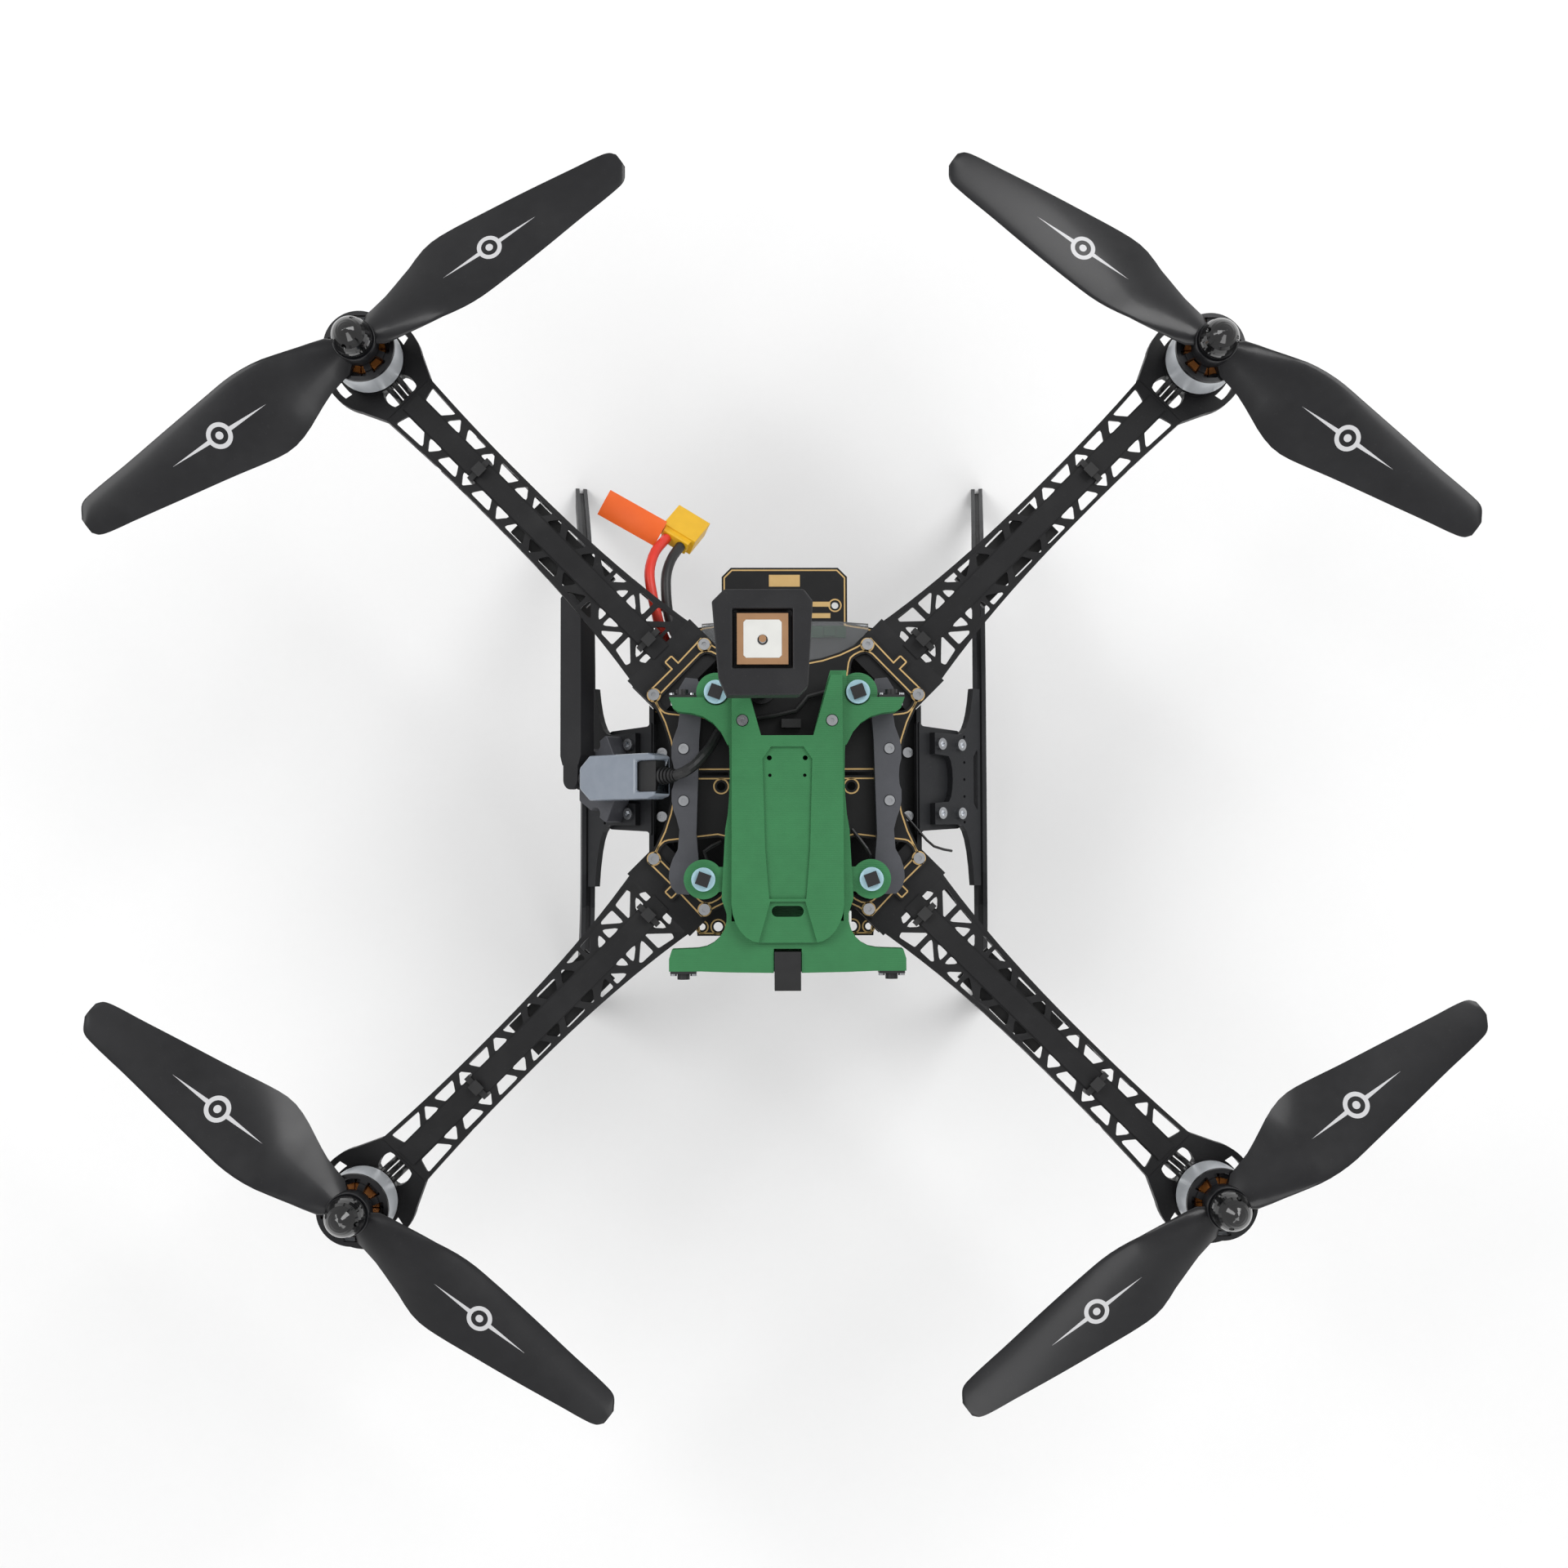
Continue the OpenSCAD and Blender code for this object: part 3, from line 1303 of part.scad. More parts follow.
plug_l = 7.4;
hood_l = 13;
module usb_lead() {
  color("#161618") {
    on_right_flange() translate([stick_x, 0, stick_z]) {
      translate([1, -6.2, -2.8]) cube([hood_l - 1.2, 12.4, 5.6]);
      for (i = [0 : 3]) translate([-1.3 - 1.6 * i, 0, 0]) rotate([0, 90, 0])
        cylinder(h = 1.1, d = 7.4 - 0.6 * i);
      translate([-plug_l, 0, 0]) rotate([0, 90, 0]) cylinder(h = plug_l + 2, d = 4.8);
    }
    tube(concat([plug_end()], CABLE_ROUTE), 4.4);
  }
}

// Where the cable leaves the plug, in the drone's own frame
function plug_end() = let (x = stick_x - plug_l + 0.4) [
  -wall_x - x * cos(flange_angle) - stick_z * sin(flange_angle),
  0,
  wall_top_z - x * sin(flange_angle) + stick_z * cos(flange_angle)
];

CABLE_ROUTE = [
  [-41.8, 1.2, frame_h + 15.2], [-38, 3.8, frame_h + 14.6], [-34.4, 7.6, frame_h + 12],
  [-31.2, 12, frame_h + 8.2], [-28.6, 17, frame_h + 5.4], [-25, 22, frame_h + 3.8],
  [-16, 27, frame_h + 3.4]
];

fork_r = 4.4;
neck_l = 1.5;
hinge_x = stick_x + dongle_l + neck_l + fork_r + 0.4;
module antenna_knuckle() {
  color("#161618") on_right_flange() translate([0, 0, stick_z]) {
    translate([stick_x + dongle_l, 0, 0]) rotate([0, 90, 0]) cylinder(h = neck_l, d = 8);
    // tongue that carries the hinge pin
    difference() {
      union() {
        translate([hinge_x - 5.6, -2.2, -1.4]) cube([5.6, 4.4, 2.8]);
        translate([hinge_x, 0, -1.4]) cylinder(h = 2.8, r = 3.6);
      }
      translate([hinge_x, 0, -3]) cylinder(h = 6, d = 2.2);
    }
  }
}

// Fork, pin and blade of the antenna, pointing to the tail
module antenna_paddle() {
  color("#1a1a1c") on_right_flange() translate([hinge_x, 0, stick_z]) {
    difference() {
      union() {
        translate([0, 0, -paddle_t / 2]) cylinder(h = paddle_t, r = fork_r);
        translate([-fork_r, 0, -paddle_t / 2]) cube([2 * fork_r, 8, paddle_t]);
        translate([0, 6, 0]) paddle_body();
      }
      translate([0, 0, -1.6]) cylinder(h = 3.2, r = fork_r + 0.1);
      translate([-5, -6, -1.6]) cube([10, 10.4, 3.2]);
    }
    translate([0, 0, -2]) cylinder(h = 4, d = 2);
  }
}

module paddle_body() {
  length = paddle_l - 6;
  translate([0, 0, -paddle_t / 2]) linear_extrude(paddle_t) polygon([
    [-paddle_w / 2 + 1.4, 0], [-paddle_w / 2, 4], [-paddle_w / 2, length - 2],
    [-paddle_w / 2 + 2, length], [paddle_w / 2 - 2, length], [paddle_w / 2, length - 2],
    [paddle_w / 2, 4], [paddle_w / 2 - 1.4, 0]
  ]);
}

bottom_plate();
top_plate();
arm_rear_right();
arm_rear_left();
arm_front_right();
arm_front_left();
frame_screws();
gear_bracket_right();
gear_bracket_left();
leg_right();
leg_left();
motor_bases();
motor_stators();
motor_windings();
motor_bearings();
motor_screws();
motor_bell_rear_right();
motor_bell_rear_left();
motor_bell_front_right();
motor_bell_front_left();
motor_ring_rear_right();
motor_ring_rear_left();
motor_ring_front_right();
motor_ring_front_left();
propeller_rear_right();
propeller_rear_left();
propeller_front_right();
propeller_front_left();
prop_nut_rear_right();
prop_nut_rear_left();
prop_nut_front_right();
prop_nut_front_left();
speed_controllers();
motor_wires();
cable_ties();
power_module();
receiver();
lead_red();
lead_black();
lead_connector();
lead_flag();
deck_tray();
deck_cover();
deck_screws();
flight_board();
deck_wires();
damper_bushes();
damper_plugs();
deck_rails();
main_camera();
camera_lens();
stereo_cameras();
gps_mast();
gps_case();
gps_patch();
dongle_cradle();
wifi_dongle();
usb_lead();
antenna_knuckle();
antenna_paddle();
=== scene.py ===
"""Looks for the quadcopter: smooth propellers, gold-tracked plates, leads and finishes.

Metres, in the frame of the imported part: +Z up, -Y the nose, -X the drone's right side.
"""

import json
import math

import bpy
import numpy as np
from mathutils import Matrix, Vector

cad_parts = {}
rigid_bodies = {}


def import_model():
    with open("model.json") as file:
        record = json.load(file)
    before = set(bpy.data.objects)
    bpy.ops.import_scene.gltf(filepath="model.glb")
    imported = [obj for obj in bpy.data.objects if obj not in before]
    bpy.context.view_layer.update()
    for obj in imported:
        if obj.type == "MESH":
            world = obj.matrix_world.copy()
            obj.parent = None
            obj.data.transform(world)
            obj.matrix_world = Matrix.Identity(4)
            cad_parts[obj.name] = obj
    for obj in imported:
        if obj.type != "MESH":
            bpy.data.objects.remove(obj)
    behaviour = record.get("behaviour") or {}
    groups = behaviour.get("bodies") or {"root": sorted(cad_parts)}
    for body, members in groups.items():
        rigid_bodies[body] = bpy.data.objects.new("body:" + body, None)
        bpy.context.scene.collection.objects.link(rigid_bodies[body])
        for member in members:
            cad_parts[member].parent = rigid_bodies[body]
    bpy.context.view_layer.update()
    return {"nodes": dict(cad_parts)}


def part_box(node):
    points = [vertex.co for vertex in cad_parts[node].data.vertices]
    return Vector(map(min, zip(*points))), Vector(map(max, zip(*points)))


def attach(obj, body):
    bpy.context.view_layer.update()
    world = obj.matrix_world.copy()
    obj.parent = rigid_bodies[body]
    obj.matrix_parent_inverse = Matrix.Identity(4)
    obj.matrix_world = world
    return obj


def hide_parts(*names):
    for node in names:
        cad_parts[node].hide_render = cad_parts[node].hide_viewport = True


for leftover in list(bpy.data.objects):
    bpy.data.objects.remove(leftover)
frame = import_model()
NODES = frame["nodes"]
CORNERS = ("rear_right", "rear_left", "front_right", "front_left")

MM = 0.001


# ---------- camera ----------

CAMERA_PLACE = (-0.01288, -0.03159, 0.8657)
CAMERA_TURN = (-0.041, 0.017, 0.003)
CAMERA_LENS = 38.57


def set_camera():
    turn = Matrix.Identity(3)
    for angle, axis in zip(CAMERA_TURN, "XYZ"):
        turn = turn @ Matrix.Rotation(angle, 3, axis)
    bpy.ops.object.camera_add()
    camera = bpy.context.object
    camera.data.sensor_width = 36
    camera.data.lens = CAMERA_LENS
    camera.matrix_world = Matrix.Translation(CAMERA_PLACE) @ turn.transposed().to_4x4()
    bpy.context.scene.camera = camera


# ---------- small tools ----------


def deselect():
    bpy.ops.object.select_all(action="DESELECT")


def select_only(obj):
    deselect()
    obj.select_set(True)
    bpy.context.view_layer.objects.active = obj


def start_edit(obj):
    select_only(obj)
    bpy.ops.object.mode_set(mode="EDIT")


def end_edit():
    bpy.ops.object.mode_set(mode="OBJECT")


def pick_faces(obj, wanted):
    """Leaves edit mode's face selection at the faces for which wanted(face) is true."""
    bpy.ops.mesh.select_mode(type="FACE")
    bpy.ops.mesh.select_all(action="DESELECT")
    end_edit()
    for face in obj.data.polygons:
        face.select = bool(wanted(face))
    bpy.ops.object.mode_set(mode="EDIT")


def apply_place(obj):
    """Puts the object's place and turn into its mesh."""
    select_only(obj)
    bpy.ops.object.transform_apply(location=True, rotation=True, scale=True)


def apply_modifiers(obj):
    select_only(obj)
    for modifier in list(obj.modifiers):
        bpy.ops.object.modifier_apply(modifier=modifier.name)


def bevelled(obj, width, segments=2):
    modifier = obj.modifiers.new("edge rounding", "BEVEL")
    modifier.width = width
    modifier.segments = segments
    modifier.limit_method = "ANGLE"
    modifier.angle_limit = math.radians(35)
    apply_modifiers(obj)


def smooth(obj, degrees=35):
    select_only(obj)
    bpy.ops.object.shade_smooth_by_angle(angle=math.radians(degrees))


def name_piece(obj, name, body, paint):
    obj.name = name
    obj.data.name = name
    obj.data.materials.clear()
    obj.data.materials.append(paint)
    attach(obj, body)
    return obj


def block(size, place):
    """A box of the given size centred on place."""
    deselect()
    bpy.ops.mesh.primitive_cube_add(size=1, location=place)
    obj = bpy.context.object
    obj.scale = size
    apply_place(obj)
    return obj


def disc(radius, depth, place, sides=48):
    deselect()
    bpy.ops.mesh.primitive_cylinder_add(
        vertices=sides, radius=radius, depth=depth, location=place
    )
    obj = bpy.context.object
    apply_place(obj)
    return obj


def own_copy(obj):
    """A copy with its own mesh and none of the frame's marks."""
    twin = obj.copy()
    twin.data = obj.data.copy()
    for key in list(twin.keys()):
        del twin[key]
    bpy.context.scene.collection.objects.link(twin)
    twin.parent = None
    twin.matrix_world = Matrix.Identity(4)
    return twin


def join(parts):
    deselect()
    for part in parts:
        part.select_set(True)
    bpy.context.view_layer.objects.active = parts[0]
    bpy.ops.object.join()
    return bpy.context.object


# ---------- shader parts ----------


def colour(red, green, blue):
    """A display colour, 0 to 255, as the shader's own linear colour."""
    parts = []
    for value in (red, green, blue):
        v = value / 255
        parts.append(v / 12.92 if v <= 0.04045 else ((v + 0.055) / 1.055) ** 2.4)
    return (*parts, 1.0)


def add(tree, kind, **settings):
    node = tree.nodes.new(kind)
    for key, value in settings.items():
        setattr(node, key, value)
    return node


def math_node(tree, operation, first, second=None):
    """A math node fed by sockets or plain numbers; gives its output socket."""
    node = add(tree, "ShaderNodeMath", operation=operation)
    for socket, value in zip(node.inputs, (first, second)):
        if value is None:
            continue
        if isinstance(value, (int, float)):
            socket.default_value = value
        else:
            tree.links.new(value, socket)
    return node.outputs[0]


def noise_node(tree, vector, scale, detail=3.0):
    node = add(tree, "ShaderNodeTexNoise")
    tree.links.new(vector, node.inputs["Vector"])
    if isinstance(scale, (int, float)):
        node.inputs["Scale"].default_value = scale
    else:
        tree.links.new(scale, node.inputs["Scale"])
    node.inputs["Detail"].default_value = detail
    return node.outputs["Fac"]


def mix_node(tree, factor, first, second):
    """A colour between two colours, each a socket or a linear colour."""
    node = add(tree, "ShaderNodeMix", data_type="RGBA")
    tree.links.new(factor, node.inputs[0])
    for socket, value in ((node.inputs[6], first), (node.inputs[7], second)):
        if isinstance(value, tuple):
            socket.default_value = value
        else:
            tree.links.new(value, socket)
    return node.outputs[2]


def shader_group(name, inputs, outputs):
    group = bpy.data.node_groups.new(name, "ShaderNodeTree")
    for label, kind, value in inputs:
        socket = group.interface.new_socket(
            name=label, in_out="INPUT", socket_type=kind
        )
        if value is not None:
            socket.default_value = value
    for label in outputs:
        group.interface.new_socket(
            name=label, in_out="OUTPUT", socket_type="NodeSocketFloat"
        )
    return group, add(group, "NodeGroupInput"), add(group, "NodeGroupOutput")


def make_surface_group():
    """Fine grain, slow changes of tone, and gloss that varies with handling."""
    group, start, end = shader_group(
        "surface",
        [
            ("Vector", "NodeSocketVector", None),
            ("Grain Scale", "NodeSocketFloat", 2500.0),
            ("Roughness", "NodeSocketFloat", 0.5),
            ("Spread", "NodeSocketFloat", 0.1),
        ],
        ["Height", "Tone", "Roughness"],
    )
    grain = noise_node(group, start.outputs["Vector"], start.outputs["Grain Scale"], 4)
    slow = noise_node(group, start.outputs["Vector"], 28.0, 3)
    fine = noise_node(group, start.outputs["Vector"], 240.0, 5)
    tone = math_node(group, "ADD", math_node(group, "MULTIPLY", slow, 0.6),
                     math_node(group, "MULTIPLY", fine, 0.4))
    swing = math_node(group, "MULTIPLY", math_node(group, "SUBTRACT", tone, 0.5),
                      math_node(group, "MULTIPLY", start.outputs["Spread"], 4.0))
    rough = math_node(group, "ADD", start.outputs["Roughness"], swing)
    group.links.new(grain, end.inputs["Height"])
    group.links.new(tone, end.inputs["Tone"])
    group.links.new(rough, end.inputs["Roughness"])
    return group


def make_dust_group():
    """Pale specks and faint smears, as a mask."""
    group, start, end = shader_group(
        "dust",
        [
            ("Vector", "NodeSocketVector", None),
            ("Amount", "NodeSocketFloat", 0.3),
        ],
        ["Mask"],
    )
    specks = noise_node(group, start.outputs["Vector"], 900.0, 2)
    patches = noise_node(group, start.outputs["Vector"], 45.0, 4)
    speck = math_node(group, "GREATER_THAN", specks, 0.7)
    cloud = math_node(group, "MULTIPLY", math_node(group, "SUBTRACT", patches, 0.5), 2.0)
    cloud = math_node(group, "MAXIMUM", cloud, 0.0)
    both = math_node(group, "ADD", math_node(group, "MULTIPLY", speck, 0.5), cloud)
    mask = math_node(group, "MULTIPLY", both, start.outputs["Amount"])
    group.links.new(mask, end.inputs["Mask"])
    return group


def make_layer_group():
    """Layer lines of a printed part: level on its sides, straight beads on its flats."""
    group, start, end = shader_group(
        "print layers",
        [("Vector", "NodeSocketVector", None), ("Normal", "NodeSocketVector", None)],
        ["Height", "Tone"],
    )
    place = add(group, "ShaderNodeSeparateXYZ")
    facing = add(group, "ShaderNodeSeparateXYZ")
    group.links.new(start.outputs["Vector"], place.inputs[0])
    group.links.new(start.outputs["Normal"], facing.inputs[0])
    level = math_node(group, "SINE", math_node(group, "MULTIPLY", place.outputs[2], 12000.0))
    beads = math_node(group, "SINE", math_node(group, "MULTIPLY", place.outputs[1], 7600.0))
    flat = math_node(group, "GREATER_THAN",
                     math_node(group, "ABSOLUTE", facing.outputs[2]), 0.8)
    side = math_node(group, "SUBTRACT", 1.0, flat)
    height = math_node(group, "ADD",
                       math_node(group, "MULTIPLY", level, side),
                       math_node(group, "MULTIPLY", beads, math_node(group, "MULTIPLY", flat, 0.5)))
    tone = math_node(group, "ADD", math_node(group, "MULTIPLY", height, 0.5), 0.5)
    group.links.new(height, end.inputs["Height"])
    group.links.new(tone, end.inputs["Tone"])
    return group


SURFACE = make_surface_group()
DUST = make_dust_group()
LAYERS = make_layer_group()


def use_group(tree, group, **values):
    node = add(tree, "ShaderNodeGroup", node_tree=group)
    for label, value in values.items():
        socket = node.inputs[label.replace("_", " ")]
        if isinstance(value, (int, float)):
            socket.default_value = value
        else:
            tree.links.new(value, socket)
    return node


def finish(name, dark, light, rough, spread=0.06, grain=2500.0, depth=0.00002,
           dust=0.0, **sockets):
    """A finish with grain, uneven tone and gloss. Extra names set the shader's sockets."""
    paint = bpy.data.materials.new(name)
    paint.use_nodes = True
    tree = paint.node_tree
    shader = tree.nodes["Principled BSDF"]
    place = add(tree, "ShaderNodeTexCoord").outputs["Object"]
    surface = use_group(tree, SURFACE, Vector=place, Grain_Scale=grain, Roughness=rough,
                        Spread=spread)
    base = mix_node(tree, surface.outputs["Tone"], dark, light)
    if dust:
        mask = use_group(tree, DUST, Vector=place, Amount=dust).outputs["Mask"]
        base = mix_node(tree, mask, base, colour(150, 150, 148))
    tree.links.new(base, shader.inputs["Base Color"])
    tree.links.new(surface.outputs["Roughness"], shader.inputs["Roughness"])
    bump = add(tree, "ShaderNodeBump")
    bump.inputs["Distance"].default_value = depth
    bump.inputs["Strength"].default_value = 1.0
    tree.links.new(surface.outputs["Height"], bump.inputs["Height"])
    tree.links.new(bump.outputs[0], shader.inputs["Normal"])
    for label, value in sockets.items():
        shader.inputs[label.replace("_", " ")].default_value = value
    return paint


def base_socket(paint):
    """The shader, its tree, and the socket that now gives its base colour."""
    tree = paint.node_tree
    shader = tree.nodes["Principled BSDF"]
    return tree, shader, shader.inputs["Base Color"].links[0].from_socket


def printed_finish(name, dark, light):
    paint = finish(name, dark, light, 0.52, 0.05, 1400.0)
    tree, shader, base = base_socket(paint)
    place = add(tree, "ShaderNodeTexCoord").outputs["Object"]
    facing = add(tree, "ShaderNodeNewGeometry").outputs["Normal"]
    layers = use_group(tree, LAYERS, Vector=place, Normal=facing)
    shade = math_node(tree, "MULTIPLY", layers.outputs["Tone"], 0.22)
    tree.links.new(mix_node(tree, shade, base, light), shader.inputs["Base Color"])
    bump = shader.inputs["Normal"].links[0].from_node
    height = math_node(
        tree, "ADD",
        math_node(tree, "MULTIPLY", layers.outputs["Height"], 1.2),
        bump.inputs["Height"].links[0].from_socket,
    )
    tree.links.new(height, bump.inputs["Height"])
    bump.inputs["Distance"].default_value = 0.00003
    return paint


# Millimetres that the blade's chart spans, along the blade and across it
CHART_LONG = 127.0
CHART_WIDE = 50.0
# The blade's pale mark, in millimetres: its place along the blade, half its length, its place
# across, how fast the line narrows, and the radii of the clear space, ring and dot
STRIPE_MIDDLE = 64.5
STRIPE_REACH = 22.0
STRIPE_ACROSS = 1.2
STRIPE_TAPER = 0.048
CLEAR_R = 4.9
RING_OUTER_R = 5.0
RING_INNER_R = 3.3
DOT_R = 1.5


def blade_finish():
    """Gloss black, with a pale tapered line, ring and dot on the upper side of each blade."""
    paint = finish("blade nylon", colour(13, 13, 15), colour(28, 28, 31), 0.34, 0.06,
                   3200.0, 0.000006, 0.03, Coat_Weight=0.2, Coat_Roughness=0.16,
                   Specular_IOR_Level=0.32)
    tree, shader, base = base_socket(paint)
    chart = add(tree, "ShaderNodeUVMap", uv_map="blade")
    parts = add(tree, "ShaderNodeSeparateXYZ")
    tree.links.new(chart.outputs[0], parts.inputs[0])
    along = math_node(tree, "SUBTRACT",
                      math_node(tree, "MULTIPLY", parts.outputs[0], CHART_LONG),
                      STRIPE_MIDDLE)
    across = math_node(tree, "SUBTRACT",
                       math_node(tree, "MULTIPLY", parts.outputs[1], CHART_WIDE),
                       CHART_WIDE / 2 + STRIPE_ACROSS)
    out = math_node(tree, "ABSOLUTE", along)
    off = math_node(tree, "ABSOLUTE", across)
    radius = math_node(tree, "SQRT", math_node(
        tree, "ADD", math_node(tree, "MULTIPLY", along, along),
        math_node(tree, "MULTIPLY", across, across)))
    taper = math_node(tree, "MULTIPLY",
                      math_node(tree, "SUBTRACT", STRIPE_REACH, out), STRIPE_TAPER)
    line = math_node(tree, "MULTIPLY", math_node(tree, "LESS_THAN", off, taper),
                     math_node(tree, "GREATER_THAN", radius, CLEAR_R))
    ring = math_node(tree, "MULTIPLY", math_node(tree, "LESS_THAN", radius, RING_OUTER_R),
                     math_node(tree, "GREATER_THAN", radius, RING_INNER_R))
    dot = math_node(tree, "LESS_THAN", radius, DOT_R)
    mark = math_node(tree, "MAXIMUM", math_node(tree, "MAXIMUM", line, ring), dot)
    tree.links.new(mix_node(tree, mark, base, colour(196, 196, 198)),
                   shader.inputs["Base Color"])
    return paint


def winding_finish():
    """Enamelled copper wound in fine turns."""
    # The copper colours here, the darker turns' colour too, are lightened as painted light, making
    # up for the shade the windings sit in inside the motor bell.
    paint = finish("copper winding", colour(228, 128, 52), colour(252, 176, 96), 0.34, 0.06,
                   2200.0, 0.00001, Metallic=0.15)
    tree, shader, base = base_socket(paint)
    place = add(tree, "ShaderNodeTexCoord").outputs["Object"]
    parts = add(tree, "ShaderNodeSeparateXYZ")
    tree.links.new(place, parts.inputs[0])
    turns = math_node(tree, "SINE", math_node(
        tree, "MULTIPLY", math_node(tree, "ADD", parts.outputs[0], parts.outputs[1]), 11000.0))
    shade = math_node(tree, "ADD", math_node(tree, "MULTIPLY", turns, 0.25), 0.25)
    tree.links.new(mix_node(tree, shade, base, colour(164, 80, 32)),
                   shader.inputs["Base Color"])
    bump = shader.inputs["Normal"].links[0].from_node
    tree.links.new(turns, bump.inputs["Height"])
    bump.inputs["Distance"].default_value = 0.0001
    return paint


SLEEVE_START_Z = 0.172


def motor_wire_finish():
    """Blue wire under the arm, in a black sleeve where it rises to the motor."""
    paint = finish("blue wire", colour(24, 62, 142), colour(46, 92, 180), 0.4, 0.05)
    tree, shader, base = base_socket(paint)
    parts = add(tree, "ShaderNodeSeparateXYZ")
    place = add(tree, "ShaderNodeTexCoord").outputs["Object"]
    tree.links.new(place, parts.inputs[0])
    sleeved = math_node(tree, "GREATER_THAN", parts.outputs[2], SLEEVE_START_Z)
    tree.links.new(mix_node(tree, sleeved, base, colour(16, 16, 17)),
                   shader.inputs["Base Color"])
    return paint


BOARD = finish("black circuit plate", colour(10, 10, 11), colour(22, 22, 23), 0.42, 0.05,
               1800.0, 0.000008, 0.04, Specular_IOR_Level=0.3)
GOLD = finish("gold track", colour(196, 158, 98), colour(228, 196, 138), 0.34, 0.05,
              1500.0, 0.000006, Metallic=0.55)
ARM = finish("arm nylon", colour(12, 12, 13), colour(28, 28, 30), 0.5, 0.06, 1500.0,
             0.00004, 0.04, Specular_IOR_Level=0.28)
STEEL = finish("stainless screw", colour(150, 152, 156), colour(222, 224, 227), 0.24, 0.06,
               1600.0, 0.000006, Metallic=1.0)
GEAR = finish("landing gear nylon", colour(24, 25, 27), colour(42, 43, 46), 0.5, 0.06,
              1500.0, 0.00004, 0.05, Specular_IOR_Level=0.32)
MOTOR_BLACK = finish("black anodised motor", colour(16, 16, 18), colour(34, 34, 37), 0.33,
                     0.05, 2000.0, 0.000008, 0.05, Metallic=0.35)
MOTOR_SILVER = finish("silver motor can", colour(190, 195, 201), colour(224, 228, 232), 0.3,
                      0.05, 2600.0, 0.000006, Metallic=0.4)
STATOR = finish("stator laminations", colour(48, 48, 52), colour(88, 88, 92), 0.42, 0.06,
                4200.0, 0.00002, Metallic=0.6)
COPPER = winding_finish()
BLADE = blade_finish()
NUT = finish("gloss black nut", colour(8, 8, 9), colour(16, 16, 17), 0.13, 0.04, 1800.0,
             0.000003, 0.02, Coat_Weight=0.6, Coat_Roughness=0.05)
CABLE = finish("black cable jacket", colour(17, 17, 18), colour(34, 34, 35), 0.45, 0.06,
               2200.0, 0.00002, 0.06)
WIRE_BLUE = motor_wire_finish()
WIRE_RED = finish("red silicone wire", colour(196, 34, 22), colour(232, 62, 42), 0.4, 0.06,
                  1800.0, 0.00001)
CONNECTOR = finish("yellow connector nylon", colour(208, 156, 8), colour(240, 190, 32), 0.36,
                   0.05, 2400.0, 0.00001)
FLAG = finish("orange label film", colour(222, 86, 14), colour(238, 106, 26), 0.42, 0.05,
              1200.0, 0.00001)
PRINT = printed_finish("green printed plastic", colour(24, 92, 48), colour(44, 122, 70))
CIRCUIT = finish("green circuit board", colour(20, 62, 38), colour(34, 88, 54), 0.4, 0.05)
DAMPER = finish("pale blue silicone", colour(138, 180, 194), colour(176, 208, 218), 0.42,
                0.05, 1400.0, 0.00001, Subsurface_Weight=0.15, Subsurface_Radius=(0.002,) * 3)
PLUG = finish("black fitting", colour(13, 13, 14), colour(28, 28, 30), 0.42, 0.06)
RAIL = finish("grey printed rail", colour(54, 55, 60), colour(78, 79, 85), 0.55, 0.06,
              1500.0, 0.00003, 0.06)
LENS = finish("coated lens", colour(6, 6, 12), colour(24, 20, 44), 0.05, 0.02,
              Coat_Weight=1.0, Coat_Roughness=0.02)
CASE = finish("receiver case", colour(16, 16, 18), colour(32, 32, 35), 0.5, 0.06, 1800.0,
              0.00004, 0.04, Specular_IOR_Level=0.32)
CERAMIC = finish("brown ceramic", colour(134, 98, 66), colour(164, 124, 86), 0.45, 0.06,
                 1900.0, 0.00001)
ELECTRODE = finish("silvered patch", colour(206, 206, 202), colour(228, 228, 224), 0.38, 0.05,
                   2000.0, 0.000006, Metallic=0.3)
RADIO = finish("blue-grey clear moulding", colour(140, 150, 164), colour(178, 187, 199), 0.24,
               0.05, 1800.0, 0.000006, Transmission_Weight=0.35, IOR=1.46,
               Coat_Weight=0.3, Coat_Roughness=0.1)
SLEEVE = finish("clear heat-shrunk sleeve", colour(214, 218, 222), colour(236, 238, 240), 0.1,
                0.04, 500.0, 0.00008, Transmission_Weight=0.9, IOR=1.45)
WHITE = finish("white diffuser", colour(214, 216, 214), colour(236, 238, 236), 0.4, 0.05)
FLOOR = finish("pale floor", colour(238, 238, 238), colour(242, 242, 242), 0.85, 0.02)

NODE_PAINT = {
    BOARD: ("bottom_plate", "top_plate"),
    ARM: ("arm_",),
    STEEL: ("frame_screws", "motor_screws", "deck_screws", "motor_bearings"),
    GEAR: ("gear_bracket", "leg_"),
    MOTOR_BLACK: ("motor_bases", "motor_bell_"),
    MOTOR_SILVER: ("motor_ring_",),
    STATOR: ("motor_stators",),
    COPPER: ("motor_windings",),
    BLADE: ("propeller_",),
    NUT: ("prop_nut_",),
    CABLE: ("speed_controllers", "cable_ties", "receiver", "lead_black", "deck_wires",
            "usb_lead"),
    WIRE_BLUE: ("motor_wires",),
    SLEEVE: ("power_module",),
    WIRE_RED: ("lead_red",),
    CONNECTOR: ("lead_connector",),
    FLAG: ("lead_flag",),
    PRINT: ("deck_tray", "deck_cover"),
    CIRCUIT: ("flight_board",),
    DAMPER: ("damper_bushes",),
    PLUG: ("damper_plugs", "main_camera", "stereo_cameras"),
    RAIL: ("deck_rails", "dongle_cradle"),
    LENS: ("camera_lens",),
    CASE: ("gps_mast", "gps_case", "antenna_"),
    CERAMIC: ("gps_patch",),
    RADIO: ("wifi_dongle",),
}
